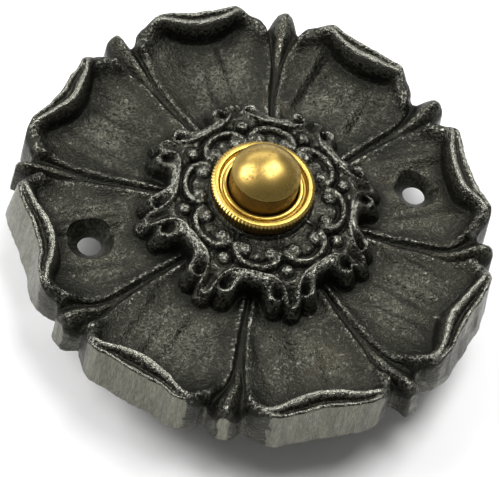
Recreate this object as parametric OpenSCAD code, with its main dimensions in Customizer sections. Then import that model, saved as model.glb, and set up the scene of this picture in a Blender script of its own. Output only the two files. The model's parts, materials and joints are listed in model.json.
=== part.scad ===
// Doorbell push: a cast iron rosette with a turned brass push button in its centre.
// The frame's Z axis is the button's axis, z = 0 is the back of the rosette on the wall,
// and X runs through the two screw holes. All sizes are in millimetres.

/* [Rosette] */
// Radius from the axis to the sepal tips between the petals
rosette_r = 42; // [40:0.5:46]
// Height of the petal floor above the wall
floor_z = 5.4; // [5.2:0.1:6]
// Height of the rolled lip at the petal ends
lip_z = 10.3; // [9.5:0.1:11.5]
// Height of the sepal tips
sepal_z = 8.4; // [7.6:0.1:9]
// Height of the seat for the ring nut in the middle of the collar
seat_z = 11.8; // [11.4:0.1:12.2]
// Strength of the carving on the collar, where 1 is full depth
carve = 1; // [0.5:0.05:1.1]

/* [Screw holes] */
// Distance between the two screw holes
screw_pitch = 60; // [56:0.5:64]
// Diameter of the screw holes
screw_d = 4.2; // [3.6:0.1:4.6]
// Diameter of the countersinks at the petal floor
sink_d = 8.4; // [7.6:0.1:9]

/* [Push button] */
// Diameter of the push button
button_d = 12; // [11.4:0.1:12.2]
// How far the button travels when it is pressed
travel = 2; // [1.2:0.1:2]
// Height of the dome on the button
dome_h = 3; // [2:0.1:4]
// Height of the straight side of the button above the ring nut
button_rise = 3.6; // [3:0.1:4.5]
// Diameter over the knurl of the ring nut
ring_d = 18.3; // [18:0.1:19]
// Height of the ring nut
ring_h = 3.1; // [2.9:0.1:3.6]
// Number of grooves in the knurl
knurls = 84; // [60:1:90]

/* [Hidden] */
$fn = 96;

// Colours
iron_colour = [0.32, 0.33, 0.33];
brass_colour = [0.72, 0.56, 0.26];
fibre_colour = [0.45, 0.16, 0.10];
moulding_colour = [0.10, 0.08, 0.07];
spring_colour = [0.62, 0.64, 0.66];
silver_colour = [0.80, 0.80, 0.78];

// Clearances and small lengths
cut = 0.5;
thread_gap = 0.05;
running_gap = 0.1;
button_gap = 0.3;
seat_gap = 0.05;
bore_gap = 0.2;
least_gap = 0.05;

// Rosette outline, per petal
petals = 8;
sector = 360 / petals;
half = sector / 2;
petal_end_drop = 1;
petal_end_r = rosette_r - petal_end_drop;
corner_reach = 1.4;
corner_r = rosette_r + corner_reach;
corner_half_w = 10.7;
corner_angle = asin(corner_half_w / corner_r);
shoulder_angle = 6;
notch_depth = 1.5;
notch_r = rosette_r - notch_depth;
notch_share = 0.38;
tip_share = 0.8;
notch_angle = corner_angle + notch_share * (half - corner_angle);
tip_angle = corner_angle + tip_share * (half - corner_angle);
outline_bow = 0.9;
wall_draft = 0.6;
wall_draft_middle = 1.7;

// Side ridges of the petals
ridge_gap_angle = 2.3;
ridge_end_angle = 16.3;
ridge_flare_out = 2;
ridge_flare_l = 13;
ridge_flare_end = rosette_r + ridge_flare_out;
ridge_flare_start = ridge_flare_end - ridge_flare_l;
ridge_rise = 0.85;
ridge_climb_out = 1;
ridge_climb_l = 10;
ridge_climb_end = rosette_r + ridge_climb_out;
ridge_climb_start = ridge_climb_end - ridge_climb_l;
ridge_inner_w = 0.7;
ridge_corner_w = 1.3;
ridge_outer_w = 0.55;
shoulder_outer_w = 1.1;
blend_h = 0.4;
petal_dish = 0.5;
petal_half_w = 10;
corner_rise = 2.5;
corner_in = 9;
corner_side = 3;
corner_side_w = 8;
groove_drop = 0.15;
groove_fall = 1.5;

// Sepals between the petals
sepal_l = 10.5;
sepal_start_r = rosette_r - sepal_l;
sepal_flat = 0.35;
sepal_slope = 1.15;

// Rolled lip at the end of each petal, with a lower plain shoulder on each side
lip_half_w = 10.2;
lip_end_w = 1.4;
lip_band = 1.7;
lip_band_least = 0.9;
lip_rise_w = 1.8;
shoulder_rise_w = 4;
shoulder_drop = 1.4;
lip_groove = 1;
lip_groove_w_share = 0.24;
lip_groove_place_share = 0.56;
lip_edge_drop = 0.7;
lip_edge_round = 0.3;
shoulder_round = 1.9;
cove_depth = 0.6;
cove_place = 3;
cove_w = 1.3;

// Collar: its ground falls in two soft steps
seat_r = 9.9;
seat_edge_w = 0.25;
collar_end_r = 23.2;
seat_step = 0.6;
collar_centre_z = seat_z - seat_step;
inner_fall = 1;
inner_fall_r = 9;
inner_fall_w = 14;
outer_fall = 2;
outer_fall_r = 17;
outer_fall_w = 6;
bore_r = 7.3;
mesh_inset = 0.9;
inner_mesh_r = bore_r - mesh_inset;

// Collar edge: a centre lobe over each petal with a side lobe and a knob on each side
collar_edge_w = 0.8;
centre_tip_r = 22.3;
centre_lobe_angle = 4.8;
centre_lobe_h = 1.7;
side_tip_r = 21.4;
side_lobe_angle = 9.4;
side_lobe_half_angle = 4.9;
side_lobe_h = 1.6;
knob_angle = 9.2;
knob_r = 20.3;
knob_size = 1.1;
knob_h = 1.6;
tip_rim_r = 1.35;
tip_rim_w = 0.4;
tip_rim_h = 0.8;
tip_rim_start = 20.2;

// Horseshoe ridges round each notch: an outer arch and an inner fork
arch_r = 15.75;
arch_half_w = 4.65;
arch_h = 0.75;
fork_r = 17;
fork_half_w = 2.6;
fork_h = 0.65;
fork_place = 0.45;
fork_w = 0.8;
rib_w = 0.42;
flat_h = 0.35;
side_channel_h = 1.7;
centre_channel_h = 1.2;
channel_start_r = 17;
channel_grow_w = 2.2;
notch_wall_w = 0.7;
notch_wall_start = 0.3;

// Scrolls with two eyes inside each horseshoe, and beads between them
scroll_r = 11.9;
scroll_radial = 2.8;
scroll_half_w = 3.95;
scroll_band_w = 0.42;
scroll_band_h = 0.75;
scroll_open_angle = 50;
moat_open_angle = 65;
scroll_fade_angle = 40;
moat_place = 0.8;
moat_w = 0.35;
moat_h = 0.7;
inner_groove_h = 0.4;
eye_angle = 10.6;
eye_size = 1.3;
eye_h = 0.9;
cusp_h = 0.4;
cusp_w = 0.7;
cusp_l = 1;
bead_r = 15.1;
bead_size = 0.95;
bead_h = 0.8;
bead_clear_w = 1.2;
line_h = 0.35;
line_w = 0.3;
line_end_r = 13.6;

// Grid of the rosette's surface: steps over half a petal, and rings from the middle out
half_steps = 11;
ridge_step = 8;
scroll_shares = [0, 0.07, 0.18, 0.275, 0.4, 0.53, 0.64, 0.73, 0.81, 0.88, 0.94, 1];
rib_flank_angle = 1.4;
notch_foot_angle = 2.7;
least_notch_angle = 6;
crossing_rounds = 14;
collar_ring_shares = [
  0.055, 0.11, 0.165, 0.215, 0.265, 0.315, 0.36, 0.405, 0.45, 0.495, 0.54,
  0.59, 0.65, 0.72, 0.785, 0.845, 0.9, 0.95, 1
];
lobe_zone_r = 15.2;
lobe_zone_w = 1;
plate_zone_r = 22;
plate_zone_w = 2.4;
floor_shares = [0.3, 0.65, 1];
lip_rise_shares = [1, 0.67, 0.33, 0];
band_shares = [0.5, 0.14, 0];

// Hollow back of the rosette: a flat rim on the wall, a shell behind the petals
// and a deeper well for the mechanism
rim_w = 5.5;
rim_r = rosette_r - rim_w;
shell_z = 2.4;
hollow_rim_z = 1.4;
plate_t = 3.6;
well_step_z = 1;
well_slope_w = 2;
well_foot_w = 3;
hollow_step_z = 0.6;

// Ring nut
ring_r = ring_d / 2;
ring_base_inset = 0.6;
ring_base_r = ring_r - ring_base_inset;
ring_base_h = 1.2;
ring_edge = 0.3;
ring_shoulder = 0.12;
ring_top_w = 0.75;
ring_step_drop = 0.5;
ring_inner_drop = 0.8;
ring_inner_w = 0.4;
knurl_depth = 0.22;
knurl_count = round(knurls);
ring_top_r = ring_r - knurl_depth - ring_shoulder - ring_edge;
ring_top_z = seat_z + ring_h;

// Barrel
tube_r = bore_r - bore_gap;
button_r = button_d / 2;
tube_bore_r = button_r + button_gap;
flange_r = 11;
well_gap = 2;
well_r = flange_r + well_gap + well_step_z;
web_t = 1.5;
washer_t = 0.5;
washer_r = 10.6;
flange_top_z = seat_z - plate_t - washer_t;
web_z = flange_top_z - web_t;
lip_drop = 0.35;
tube_top_z = ring_top_z - lip_drop;
tube_round = (tube_r - tube_bore_r) / 2;

// Button with its stem
button_edge_z = ring_top_z + button_rise;
spring_solid_h = 0.8;
button_base_z = web_z + web_t + travel + spring_solid_h;
spring_pocket_r = 4.7;
spring_pocket_h = 2.5;
stem_r = 1.4;
stem_out = 3.4;
stem_end_z = web_z - stem_out;
clip_groove_r = 1.1;
clip_t = 0.75;
clip_r = 3;
clip_mouth = 1.5;
hub_r = 2.6;

// Return spring
spring_wire_r = 0.3;
spring_r = 3.7;
spring_turns = 4.5;
spring_steps = 14;
spring_sides = 8;
spring_low_z = web_z + web_t;
spring_high_z = button_base_z + spring_pocket_h;

// Plunger tip
tip_r = 2;
tip_wall_t = 0.8;
tip_h = 3;

// Contact base
base_r = 11.6;
base_wall_t = 1.6;
base_floor_t = 2.5;
base_depth = 12.7;
base_top_z = web_z;
base_floor_z = base_top_z - base_depth;
base_back_z = base_floor_z - base_floor_t;
pillar_r = 2.2;
pillar_y = 7.9;
terminal_x = 6.9;
leaf_gap = 0.2;
leaf_t = 0.3;
leaf_w = 4;
tip_low_z = stem_end_z - tip_wall_t;
leaf_top_z = tip_low_z - leaf_gap;
leaf_z = leaf_top_z - leaf_t;
boss_w = 5.2;
boss_inner_x = 5;

// Contacts
contact_r = 1.3;
contact_t = 0.8;
rivet_r = 0.55;
contact_space = 1.3;
strip_t = 0.4;
strip_w = 4;
nut_gap = 0.2;
strip_end_x = 9.4;
strip_tip_x = 1.8;
leaf_tip_x = 2.6;
moving_low_z = leaf_z - contact_t;
fixed_top_z = moving_low_z - contact_space;
strip_z = fixed_top_z - contact_t - strip_t;

// Screws, washers and nuts
terminal_r = 1.25;
terminal_hole_r = 1.35;
terminal_head_r = 2.2;
terminal_head_h = 1.8;
terminal_washer_r = 2.7;
terminal_washer_t = 0.5;
nut_flats = 5;
nut_h = 2;
nut_r = nut_flats / 2 / cos(30);
strip_leg_x = terminal_x - nut_flats / 2 - nut_gap - strip_t;
terminal_over = 0.5;
base_screw_r = 1;
base_screw_hole_r = 1.1;
base_head_r = 1.9;
base_head_h = 1.4;
base_sink_r = 2.05;
base_sink_h = 1.6;
slot_w = 0.6;
slot_depth_share = 0.5;

// Plain helpers: a smooth step, a mix of two values, a soft bump, a round cap
// and the larger of two values with a soft change between them
function ease(t) = let (c = max(0, min(1, t))) c * c * (3 - 2 * c);
function mix(a, b, t) = a + (b - a) * t;
function bump(d, w) = exp(-(d / w) * (d / w));
function dome(t) = sqrt(max(0, 1 - t * t));
function soft_max(a, b, blend) = (a + b + norm([a - b, blend])) / 2;

// Angle of a petal's side ridge at radius r, measured from the petal's middle
function ridge_angle(r) = mix(
  half - ridge_gap_angle,
  ridge_end_angle,
  ease((r - ridge_flare_start) / (ridge_flare_end - ridge_flare_start))
);

// Radius of the top edge at angle a from the petal's middle, with a rounded shoulder
function petal_edge_r(a) =
  let (y = corner_r * sin(a) / corner_half_w)
  min(corner_r, (petal_end_r + outline_bow * y * y) / cos(min(a, notch_angle)));
function edge_r(a) =
  a <= notch_angle
    ? mix(notch_r, petal_edge_r(a), dome(1 - min(1, (notch_angle - a) / shoulder_angle)))
    : mix(notch_r, rosette_r, ease((a - notch_angle) / (tip_angle - notch_angle)));

// How open the rolled lip is: 1 in the middle of the petal, 0 at the lip's ends
function lip_open(a) =
  let (y = min(1, rosette_r * sin(a) / lip_half_w))
  1 - y * y;
function band_w(a) = lip_band_least + lip_band * lip_open(a);

// 0 along the rolled lip and 1 on the plain shoulders beside it
function shoulder(a) = ease((rosette_r * sin(a) - lip_half_w) / lip_end_w + 0.5);

// How far the rounded top edge lies below the face
function edge_drop(r, a) =
  let (size = mix(lip_edge_round, shoulder_round, shoulder(a)))
  let (short = max(0, min(size, size - edge_r(a) + r)))
  size - sqrt(size * size - short * short);

// Height of the rolled lip, where e is the distance inside its inner crest
function lip_height(e, a, base) =
  let (out = -e / band_w(a))
  let (open = lip_open(a))
  let (crest = lip_z - shoulder_drop * shoulder(a))
  let (cove = base - cove_depth * bump(e - cove_place, cove_w) * open)
  e > 0
    ? mix(cove, crest, ease(1 - e / mix(lip_rise_w, shoulder_rise_w, shoulder(a))))
    : crest - lip_groove * open * bump(out - lip_groove_place_share, lip_groove_w_share)
        - lip_edge_drop * open * ease(out);

// Height of a petal's dished floor, which climbs towards its two outer corners
function petal_base(r, a) =
  let (across = r * sin(a))
  let (side = across / petal_half_w)
  floor_z + petal_dish * side * side
    + corner_rise * ease((r - rosette_r) / corner_in + 1)
      * ease((across - corner_side) / corner_side_w);

// Height of a petal with its two side ridges
function petal_height(r, a) =
  let (d = r * sin(a - ridge_angle(r)))
  let (climb = ease((r - ridge_climb_start) / (ridge_climb_end - ridge_climb_start)))
  let (crest = mix(floor_z + ridge_rise, lip_z - shoulder_drop, climb))
  let (base = petal_base(r, a))
  let (low = floor_z - groove_drop
    - groove_fall * ease((r - ridge_flare_start) / (rosette_r - ridge_flare_start)))
  d < 0
    ? soft_max(
        base + (crest - base) * bump(d, mix(ridge_inner_w, ridge_corner_w, climb)),
        lip_height(edge_r(a) - band_w(a) - r, a, base),
        blend_h * climb
      )
    : low + (crest - low) * bump(d, mix(ridge_outer_w, shoulder_outer_w, climb));

// Height of a sepal's keel between two petals
function sepal_height(r, a) =
  let (s = r * sin(half - a))
  let (keel = mix(
    floor_z - groove_drop,
    sepal_z,
    ease((r - sepal_start_r) / (rosette_r - sepal_start_r))
  ))
  keel - max(0, s - sepal_flat) * sepal_slope;

function plate_height(r, a) =
  max(petal_height(r, a), r > sepal_start_r ? sepal_height(r, a) : 0) - edge_drop(r, a);

// Outer edge of the collar
function collar_edge_r(a) =
  a < centre_lobe_angle
    ? centre_tip_r + centre_lobe_h * (dome(a / centre_lobe_angle) - 1)
    : side_tip_r + side_lobe_h * (dome((a - side_lobe_angle) / side_lobe_half_angle) - 1);

// Distance outside a horseshoe curve: x runs out along the sepal, y across it
function horseshoe(x, y, start, w) =
  let (q = pow(y / w, 3))
  (x - start - q * y / w) / sqrt(1 + pow(4 * q / w, 2));
function arch_distance(r, a) = horseshoe(r * cos(half - a), r * sin(half - a), arch_r, arch_half_w);
function fork_distance(r, a) = horseshoe(r * cos(half - a), r * sin(half - a), fork_r, fork_half_w);

// A scroll is a C-shaped band with a moat round it and two eyes in its ends
function scroll_height(r, a) =
  let (x = r * cos(half - a) - scroll_r)
  let (y = r * sin(half - a))
  let (d = (norm([y / scroll_half_w, x / scroll_radial]) - 1) * scroll_radial)
  let (turn = atan2(x / scroll_radial, y / scroll_half_w))
  let (eye_x = r * cos(a - half + eye_angle) - scroll_r)
  let (eye_y = r * sin(a - half + eye_angle))
  scroll_band_h * bump(d, scroll_band_w) * ease((turn + scroll_open_angle) / scroll_fade_angle)
  - moat_h * bump(d - moat_place, moat_w) * ease((turn + moat_open_angle) / scroll_fade_angle)
  - inner_groove_h * bump(d + moat_place, moat_w) * ease(turn / scroll_fade_angle)
  + eye_h * dome(norm([eye_x, eye_y]) / eye_size)
  + cusp_h * bump(y, cusp_w) * bump(x - cusp_w, cusp_l);

function bead_distance(r, a) = norm([r * cos(a) - bead_r, r * sin(a)]);

// Channels that run out between the ribs, with knobs and a rim at their ends
function channel_height(r, a) =
  let (d_arch = arch_distance(r, a))
  let (d_fork = fork_distance(r, a))
  let (across = max(0, min(1, d_arch / max(least_gap, d_arch - d_fork))))
  let (grow = ease((r - channel_start_r) / channel_grow_w))
  flat_h * ease((d_arch + notch_wall_start) / notch_wall_w) * (1 - grow)
  - side_channel_h * pow(sin(180 * across), 2) * grow
  - centre_channel_h * ease((-d_arch - notch_wall_start) / knob_size) * grow;
function rib_height(r, a) =
  arch_h * bump(arch_distance(r, a), rib_w)
  + fork_h * bump(fork_distance(r, a) + fork_place, fork_w)
  + knob_h * dome(norm([r * cos(a - knob_angle) - knob_r, r * sin(a - knob_angle)]) / knob_size)
  + tip_rim_h * ease((r - tip_rim_start) / collar_edge_w) * ease(centre_lobe_angle - a)
    * bump(norm([r - centre_tip_r + centre_lobe_h, r * sin(a)]) - tip_rim_r, tip_rim_w);

function collar_height(r, a) =
  let (d_bead = bead_distance(r, a))
  let (inside = ease((-arch_distance(r, a) - rib_w / 2) / rib_w))
  collar_centre_z
  - inner_fall * ease((r - inner_fall_r) / inner_fall_w)
  - outer_fall * ease((r - outer_fall_r) / outer_fall_w)
  + carve * (
    scroll_height(r, a) * inside * (1 - bump(d_bead, bead_clear_w))
    + line_h * bump(r * sin(a), line_w) * ease((line_end_r - r) / line_w)
    + bead_h * dome(d_bead / bead_size)
    + rib_height(r, a)
    + channel_height(r, a)
  );

// Height of the casting's face anywhere
function face_height(r, a) =
  let (notch = ease((fork_distance(r, a) - notch_wall_start) / notch_wall_w))
  let (outside = ease((r - collar_edge_r(a)) / collar_edge_w + 0.5))
  r < seat_r ? seat_z
  : r > collar_end_r ? plate_height(r, a)
  : mix(collar_height(r, a), plate_height(r, a), 1 - (1 - notch) * (1 - outside));

// Angle at which a horseshoe curve crosses the ring of radius r, found by halving
function crossing(r, start, w, low, high, n) =
  let (y = (low + high) / 2)
  n <= 0 ? half - asin(y / r)
  : sqrt(r * r - y * y) - start > pow(y / w, 4)
    ? crossing(r, start, w, y, high, n - 1)
    : crossing(r, start, w, low, y, n - 1);

// Grid angles: they follow the scrolls, then the ribs of the collar, then the petal ridges
function lobe_angles(r) =
  let (wide = r * sin(half))
  let (on_fork = crossing(r, fork_r, fork_half_w, 0, wide, crossing_rounds))
  let (on_arch = crossing(r, arch_r, arch_half_w, 0, wide, crossing_rounds))
  let (fork = min(on_fork, half - least_notch_angle))
  let (arch = min(on_arch, fork - 4 * rib_flank_angle))
  let (ridge = ridge_angle(r))
  [
    0, arch / 2, arch, arch + rib_flank_angle, (arch + fork) / 2, fork - rib_flank_angle,
    fork, min(fork + notch_foot_angle, (fork + ridge) / 2), ridge,
    mix(ridge, half, notch_share), mix(ridge, half, tip_share), half
  ];
function plate_angles(r) =
  let (ridge = ridge_angle(r))
  concat(
    [for (j = [0:ridge_step]) ridge * j / ridge_step],
    [for (share = [notch_share, tip_share, 1]) mix(ridge, half, share)]
  );
function grid_angles(r) =
  mix(
    mix(scroll_shares * half, lobe_angles(r), ease((r - lobe_zone_r) / lobe_zone_w)),
    plate_angles(r),
    ease((r - plate_zone_r) / plate_zone_w)
  );

// A ring is [kind, value]: kind 0 has a plain radius, 1 a share of the petal floor,
// 2 a share of the lip's rise inside its crest and 3 a share of the lip's band
function cove_r(a) = edge_r(a) - band_w(a) - cove_place;
function nominal_r(kind, v) =
  kind == 0 ? v
  : kind == 1 ? mix(collar_end_r, rosette_r - cove_place - lip_band, v)
  : kind == 2 ? rosette_r - lip_band - lip_rise_w * v
  : corner_r;
function ring_radius(kind, v, a) =
  kind == 0 ? v
  : kind == 1 ? mix(collar_end_r, cove_r(a), v)
  : kind == 2 ? edge_r(a) - band_w(a) - lip_rise_w * v
  : edge_r(a) - band_w(a) * v;
function ring_points(kind, v) =
  let (angles = grid_angles(nominal_r(kind, v)))
  [
    for (k = [0:petals - 1]) for (j = [-half_steps:half_steps - 1])
      let (a = angles[abs(j)])
      let (r = ring_radius(kind, v, a))
      let (turn = sector * k + sign(j) * a)
      [r * cos(turn), r * sin(turn), face_height(r, a)]
  ];
function floor_points(outer) =
  let (angles = grid_angles(corner_r))
  [
    for (k = [0:petals - 1]) for (j = [-half_steps:half_steps - 1])
      let (a = angles[abs(j)])
      let (draft = mix(wall_draft, wall_draft_middle, lip_open(a)))
      let (r = outer ? edge_r(a) + draft : inner_mesh_r)
      let (turn = sector * k + sign(j) * a)
      [r * cos(turn), r * sin(turn), 0]
  ];

// The casting's skin, ring by ring from the middle to the edge and back underneath
module casting_skin() {
  rings = concat(
    [for (v = [inner_mesh_r, seat_r - seat_edge_w, seat_r + seat_edge_w]) ring_points(0, v)],
    [for (share = collar_ring_shares) ring_points(0, mix(seat_r, collar_end_r, share))],
    [for (v = floor_shares) ring_points(1, v)],
    [for (v = lip_rise_shares) ring_points(2, v)],
    [for (v = band_shares) ring_points(3, v)],
    [floor_points(true), floor_points(false)]
  );
  n = 2 * half_steps * petals;
  count = len(rings);
  points = [for (ring = rings) each ring];
  faces = [
    for (i = [0:count - 1]) for (s = [0:n - 1])
      let (a = i * n + s)
      let (b = i * n + (s + 1) % n)
      let (c = (i + 1) % count * n + (s + 1) % n)
      let (d = (i + 1) % count * n + s)
      each s % (2 * half_steps) < half_steps
        ? [[a, b, c], [a, c, d]]
        : [[a, b, d], [b, c, d]]
  ];
  polyhedron(points = points, faces = faces, convexity = 8);
}

module hollow_back() {
  rotate_extrude($fn = 128)
    polygon([
      [0, -cut],
      [rim_r, -cut],
      [rim_r, hollow_rim_z],
      [rim_r - hollow_rim_z, shell_z],
      [well_r + well_slope_w + well_foot_w, shell_z],
      [well_r + well_slope_w, shell_z + hollow_step_z],
      [well_r, seat_z - plate_t - well_step_z],
      [well_r - well_step_z, seat_z - plate_t],
      [0, seat_z - plate_t]
    ]);
}

module screw_hole() {
  sink_depth = (sink_d - screw_d) / 2;
  translate([0, 0, -cut])
    cylinder(d = screw_d, h = lip_z);
  translate([0, 0, floor_z - sink_depth])
    cylinder(d1 = screw_d, d2 = sink_d, h = sink_depth);
  translate([0, 0, floor_z])
    cylinder(d = sink_d, h = cut);
}

module rosette() {
  color(iron_colour)
    difference() {
      casting_skin();
      hollow_back();
      translate([0, 0, -cut])
        cylinder(r = bore_r, h = seat_z + 2 * cut);
      for (side = [-1, 1])
        translate([side * screw_pitch / 2, 0, 0])
          screw_hole();
    }
}

// A disc with a V groove cut between each pair of knurls
module knurled_disc(r, h) {
  linear_extrude(height = h)
    polygon([
      for (i = [0:2 * knurl_count - 1])
        let (turn = 180 * i / knurl_count)
        let (rr = r - (i % 2) * knurl_depth)
        [rr * cos(turn), rr * sin(turn)]
    ]);
}

module ring_nut() {
  color(brass_colour)
    translate([0, 0, seat_z])
      difference() {
        union() {
          cylinder(r = ring_base_r, h = ring_base_h);
          translate([0, 0, ring_base_h])
            knurled_disc(ring_r, ring_h - ring_base_h - ring_edge);
          translate([0, 0, ring_h - ring_edge])
            cylinder(r1 = ring_top_r + ring_edge, r2 = ring_top_r, h = ring_edge);
        }
        translate([0, 0, -cut])
          cylinder(r = tube_r + thread_gap, h = ring_h + 2 * cut);
        translate([0, 0, ring_h - ring_inner_drop])
          cylinder(r = tube_r + ring_inner_w, h = ring_h);
        translate([0, 0, ring_h - ring_step_drop])
          cylinder(
            r1 = ring_top_r - ring_top_w - ring_step_drop / 2,
            r2 = ring_top_r - ring_top_w + ring_step_drop / 2,
            h = 2 * ring_step_drop
          );
      }
}

module fibre_washer() {
  color(fibre_colour)
    translate([0, 0, flange_top_z])
      difference() {
        cylinder(r = washer_r, h = washer_t);
        translate([0, 0, -cut])
          cylinder(r = tube_r + running_gap, h = washer_t + 2 * cut);
      }
}

// Turned tube with a flange behind the casting, a rounded front lip and a drilled web
module barrel() {
  color(brass_colour)
    difference() {
      union() {
        translate([0, 0, web_z])
          cylinder(r = flange_r, h = web_t);
        rotate_extrude() {
          polygon([
            [0, web_z],
            [tube_r, web_z],
            [tube_r, tube_top_z - tube_round],
            [tube_bore_r, tube_top_z - tube_round],
            [tube_bore_r, flange_top_z],
            [0, flange_top_z]
          ]);
          translate([tube_bore_r + tube_round, tube_top_z - tube_round])
            circle(r = tube_round, $fn = 48);
        }
      }
      translate([0, 0, web_z - cut])
        cylinder(r = stem_r + running_gap, h = web_t + 2 * cut);
      for (side = [-1, 1])
        translate([0, side * pillar_y, web_z - cut])
          cylinder(r = base_screw_r + thread_gap, h = web_t + cut - running_gap);
    }
}

// Button and stem, turned from one bar
module button() {
  dome_r = (button_r * button_r + dome_h * dome_h) / (2 * dome_h);
  clip_z = web_z - seat_gap;
  color(brass_colour)
    difference() {
      union() {
        translate([0, 0, button_base_z])
          cylinder(r = button_r, h = button_edge_z - button_base_z);
        intersection() {
          translate([0, 0, button_edge_z + dome_h - dome_r])
            sphere(r = dome_r);
          translate([0, 0, button_edge_z])
            cylinder(r = button_r, h = dome_h + cut);
        }
        translate([0, 0, stem_end_z])
          cylinder(r = stem_r, h = button_base_z - stem_end_z + cut);
      }
      difference() {
        translate([0, 0, button_base_z - cut])
          cylinder(r = spring_pocket_r, h = spring_pocket_h + cut);
        cylinder(r = hub_r, h = button_edge_z);
      }
      difference() {
        translate([0, 0, button_base_z - cut])
          cylinder(r = hub_r + cut, h = cut);
        translate([0, 0, button_base_z - 2 * cut])
          cylinder(r = stem_r, h = 3 * cut);
      }
      difference() {
        translate([0, 0, clip_z - clip_t])
          cylinder(r = stem_r + cut, h = clip_t + seat_gap);
        cylinder(r = clip_groove_r, h = button_edge_z);
      }
    }
}

module retaining_clip() {
  color(spring_colour)
    translate([0, 0, web_z - clip_t])
      difference() {
        cylinder(r = clip_r, h = clip_t - seat_gap);
        translate([0, 0, -cut])
          cylinder(r = clip_groove_r + thread_gap, h = clip_t + 2 * cut);
        translate([0, -clip_mouth / 2, -cut])
          cube([clip_r + cut, clip_mouth, clip_t + 2 * cut]);
      }
}

// Coil of round wire between the barrel's web and the pocket in the button
module return_spring() {
  low = spring_low_z + spring_wire_r;
  high = spring_high_z - spring_wire_r;
  total = spring_turns * spring_steps;
  points = [
    for (i = [0:total]) for (j = [0:spring_sides - 1])
      let (turn = 360 * i / spring_steps)
      let (round = 360 * j / spring_sides)
      let (r = spring_r + spring_wire_r * cos(round))
      let (z = mix(low, high, i / total) + spring_wire_r * sin(round))
      [r * cos(turn), r * sin(turn), z]
  ];
  sides = [
    for (i = [0:total - 1]) for (j = [0:spring_sides - 1])
      let (a = i * spring_sides + j)
      let (b = i * spring_sides + (j + 1) % spring_sides)
      let (c = b + spring_sides)
      let (d = a + spring_sides)
      each [[a, b, c], [a, c, d]]
  ];
  first = [[for (j = [spring_sides - 1:-1:0]) j]];
  last = [[for (j = [0:spring_sides - 1]) total * spring_sides + j]];
  color(spring_colour)
    polyhedron(points = points, faces = concat(sides, first, last), convexity = 6);
}

module plunger_tip() {
  color(moulding_colour)
    translate([0, 0, tip_low_z])
      difference() {
        cylinder(r = tip_r, h = tip_h);
        translate([0, 0, tip_wall_t])
          cylinder(r = stem_r + thread_gap, h = tip_h);
      }
}

// Moulded cup with two pillars for its screws and a boss that carries the moving leaf
module contact_base() {
  inner_r = base_r - base_wall_t;
  color(moulding_colour)
    difference() {
      union() {
        difference() {
          translate([0, 0, base_back_z])
            cylinder(r = base_r, h = base_top_z - base_back_z);
          translate([0, 0, base_floor_z])
            cylinder(r = inner_r, h = base_depth + cut);
        }
        for (side = [-1, 1])
          translate([0, side * pillar_y, base_floor_z - cut])
            cylinder(r = pillar_r, h = base_depth + cut);
        intersection() {
          translate([-inner_r - cut, -boss_w / 2, base_floor_z - cut])
            cube([inner_r + cut - boss_inner_x, boss_w, leaf_z - base_floor_z + cut]);
          translate([0, 0, base_floor_z - cut])
            cylinder(r = inner_r + cut, h = base_depth);
        }
      }
      for (side = [-1, 1]) {
        translate([0, side * pillar_y, base_back_z - cut])
          cylinder(r = base_screw_hole_r, h = base_depth + base_floor_t + 2 * cut);
        translate([0, side * pillar_y, base_back_z - cut])
          cylinder(r = base_sink_r, h = base_sink_h + cut);
        translate([side * terminal_x, 0, base_back_z - cut])
          cylinder(r = terminal_hole_r, h = base_depth + base_floor_t + 2 * cut);
      }
    }
}

// Flat spring strip from the boss to a round end past the middle
module moving_leaf() {
  color(brass_colour)
    translate([0, 0, leaf_z])
      difference() {
        union() {
          translate([-terminal_x - leaf_w / 2, -leaf_w / 2, 0])
            cube([terminal_x + leaf_w / 2 + leaf_tip_x - leaf_w / 2, leaf_w, leaf_t]);
          translate([leaf_tip_x - leaf_w / 2, 0, 0])
            cylinder(d = leaf_w, h = leaf_t);
        }
        translate([-terminal_x, 0, -cut])
          cylinder(r = terminal_hole_r, h = leaf_t + 2 * cut);
        translate([0, 0, -cut])
          cylinder(r = rivet_r + seat_gap, h = leaf_t + 2 * cut);
      }
}

module contact_rivet(shank_h) {
  color(silver_colour) {
    cylinder(r = contact_r, h = contact_t);
    translate([0, 0, contact_t])
      cylinder(r = rivet_r, h = shank_h);
  }
}

module moving_contact() {
  translate([0, 0, moving_low_z])
    contact_rivet(leaf_t);
}

module fixed_contact() {
  translate([0, 0, fixed_top_z])
    mirror([0, 0, 1])
      contact_rivet(strip_t + cut / 2);
}

// Strip bent to a Z: a foot on the base's floor, a leg and an arm under the leaf
module fixed_strip() {
  color(brass_colour)
    difference() {
      translate([0, strip_w / 2, 0])
        rotate([90, 0, 0])
          linear_extrude(height = strip_w)
            polygon([
              [strip_end_x, base_floor_z],
              [strip_leg_x, base_floor_z],
              [strip_leg_x, strip_z],
              [-strip_tip_x, strip_z],
              [-strip_tip_x, strip_z + strip_t],
              [strip_leg_x + strip_t, strip_z + strip_t],
              [strip_leg_x + strip_t, base_floor_z + strip_t],
              [strip_end_x, base_floor_z + strip_t]
            ]);
      translate([terminal_x, 0, base_floor_z - cut])
        cylinder(r = terminal_hole_r, h = strip_t + 2 * cut);
      translate([0, 0, strip_z - cut])
        cylinder(r = rivet_r + seat_gap, h = strip_t + 2 * cut);
    }
}

// Slotted cheese head screw, head down, with its seat at z = 0
module slotted_screw(shank_r, shank_h, head_r, head_h) {
  color(brass_colour)
    difference() {
      union() {
        cylinder(r = shank_r, h = shank_h);
        translate([0, 0, -head_h])
          cylinder(r = head_r, h = head_h);
      }
      translate([-head_r - cut, -slot_w / 2, -head_h - cut])
        cube([2 * head_r + 2 * cut, slot_w, head_h * slot_depth_share + cut]);
    }
}

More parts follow.
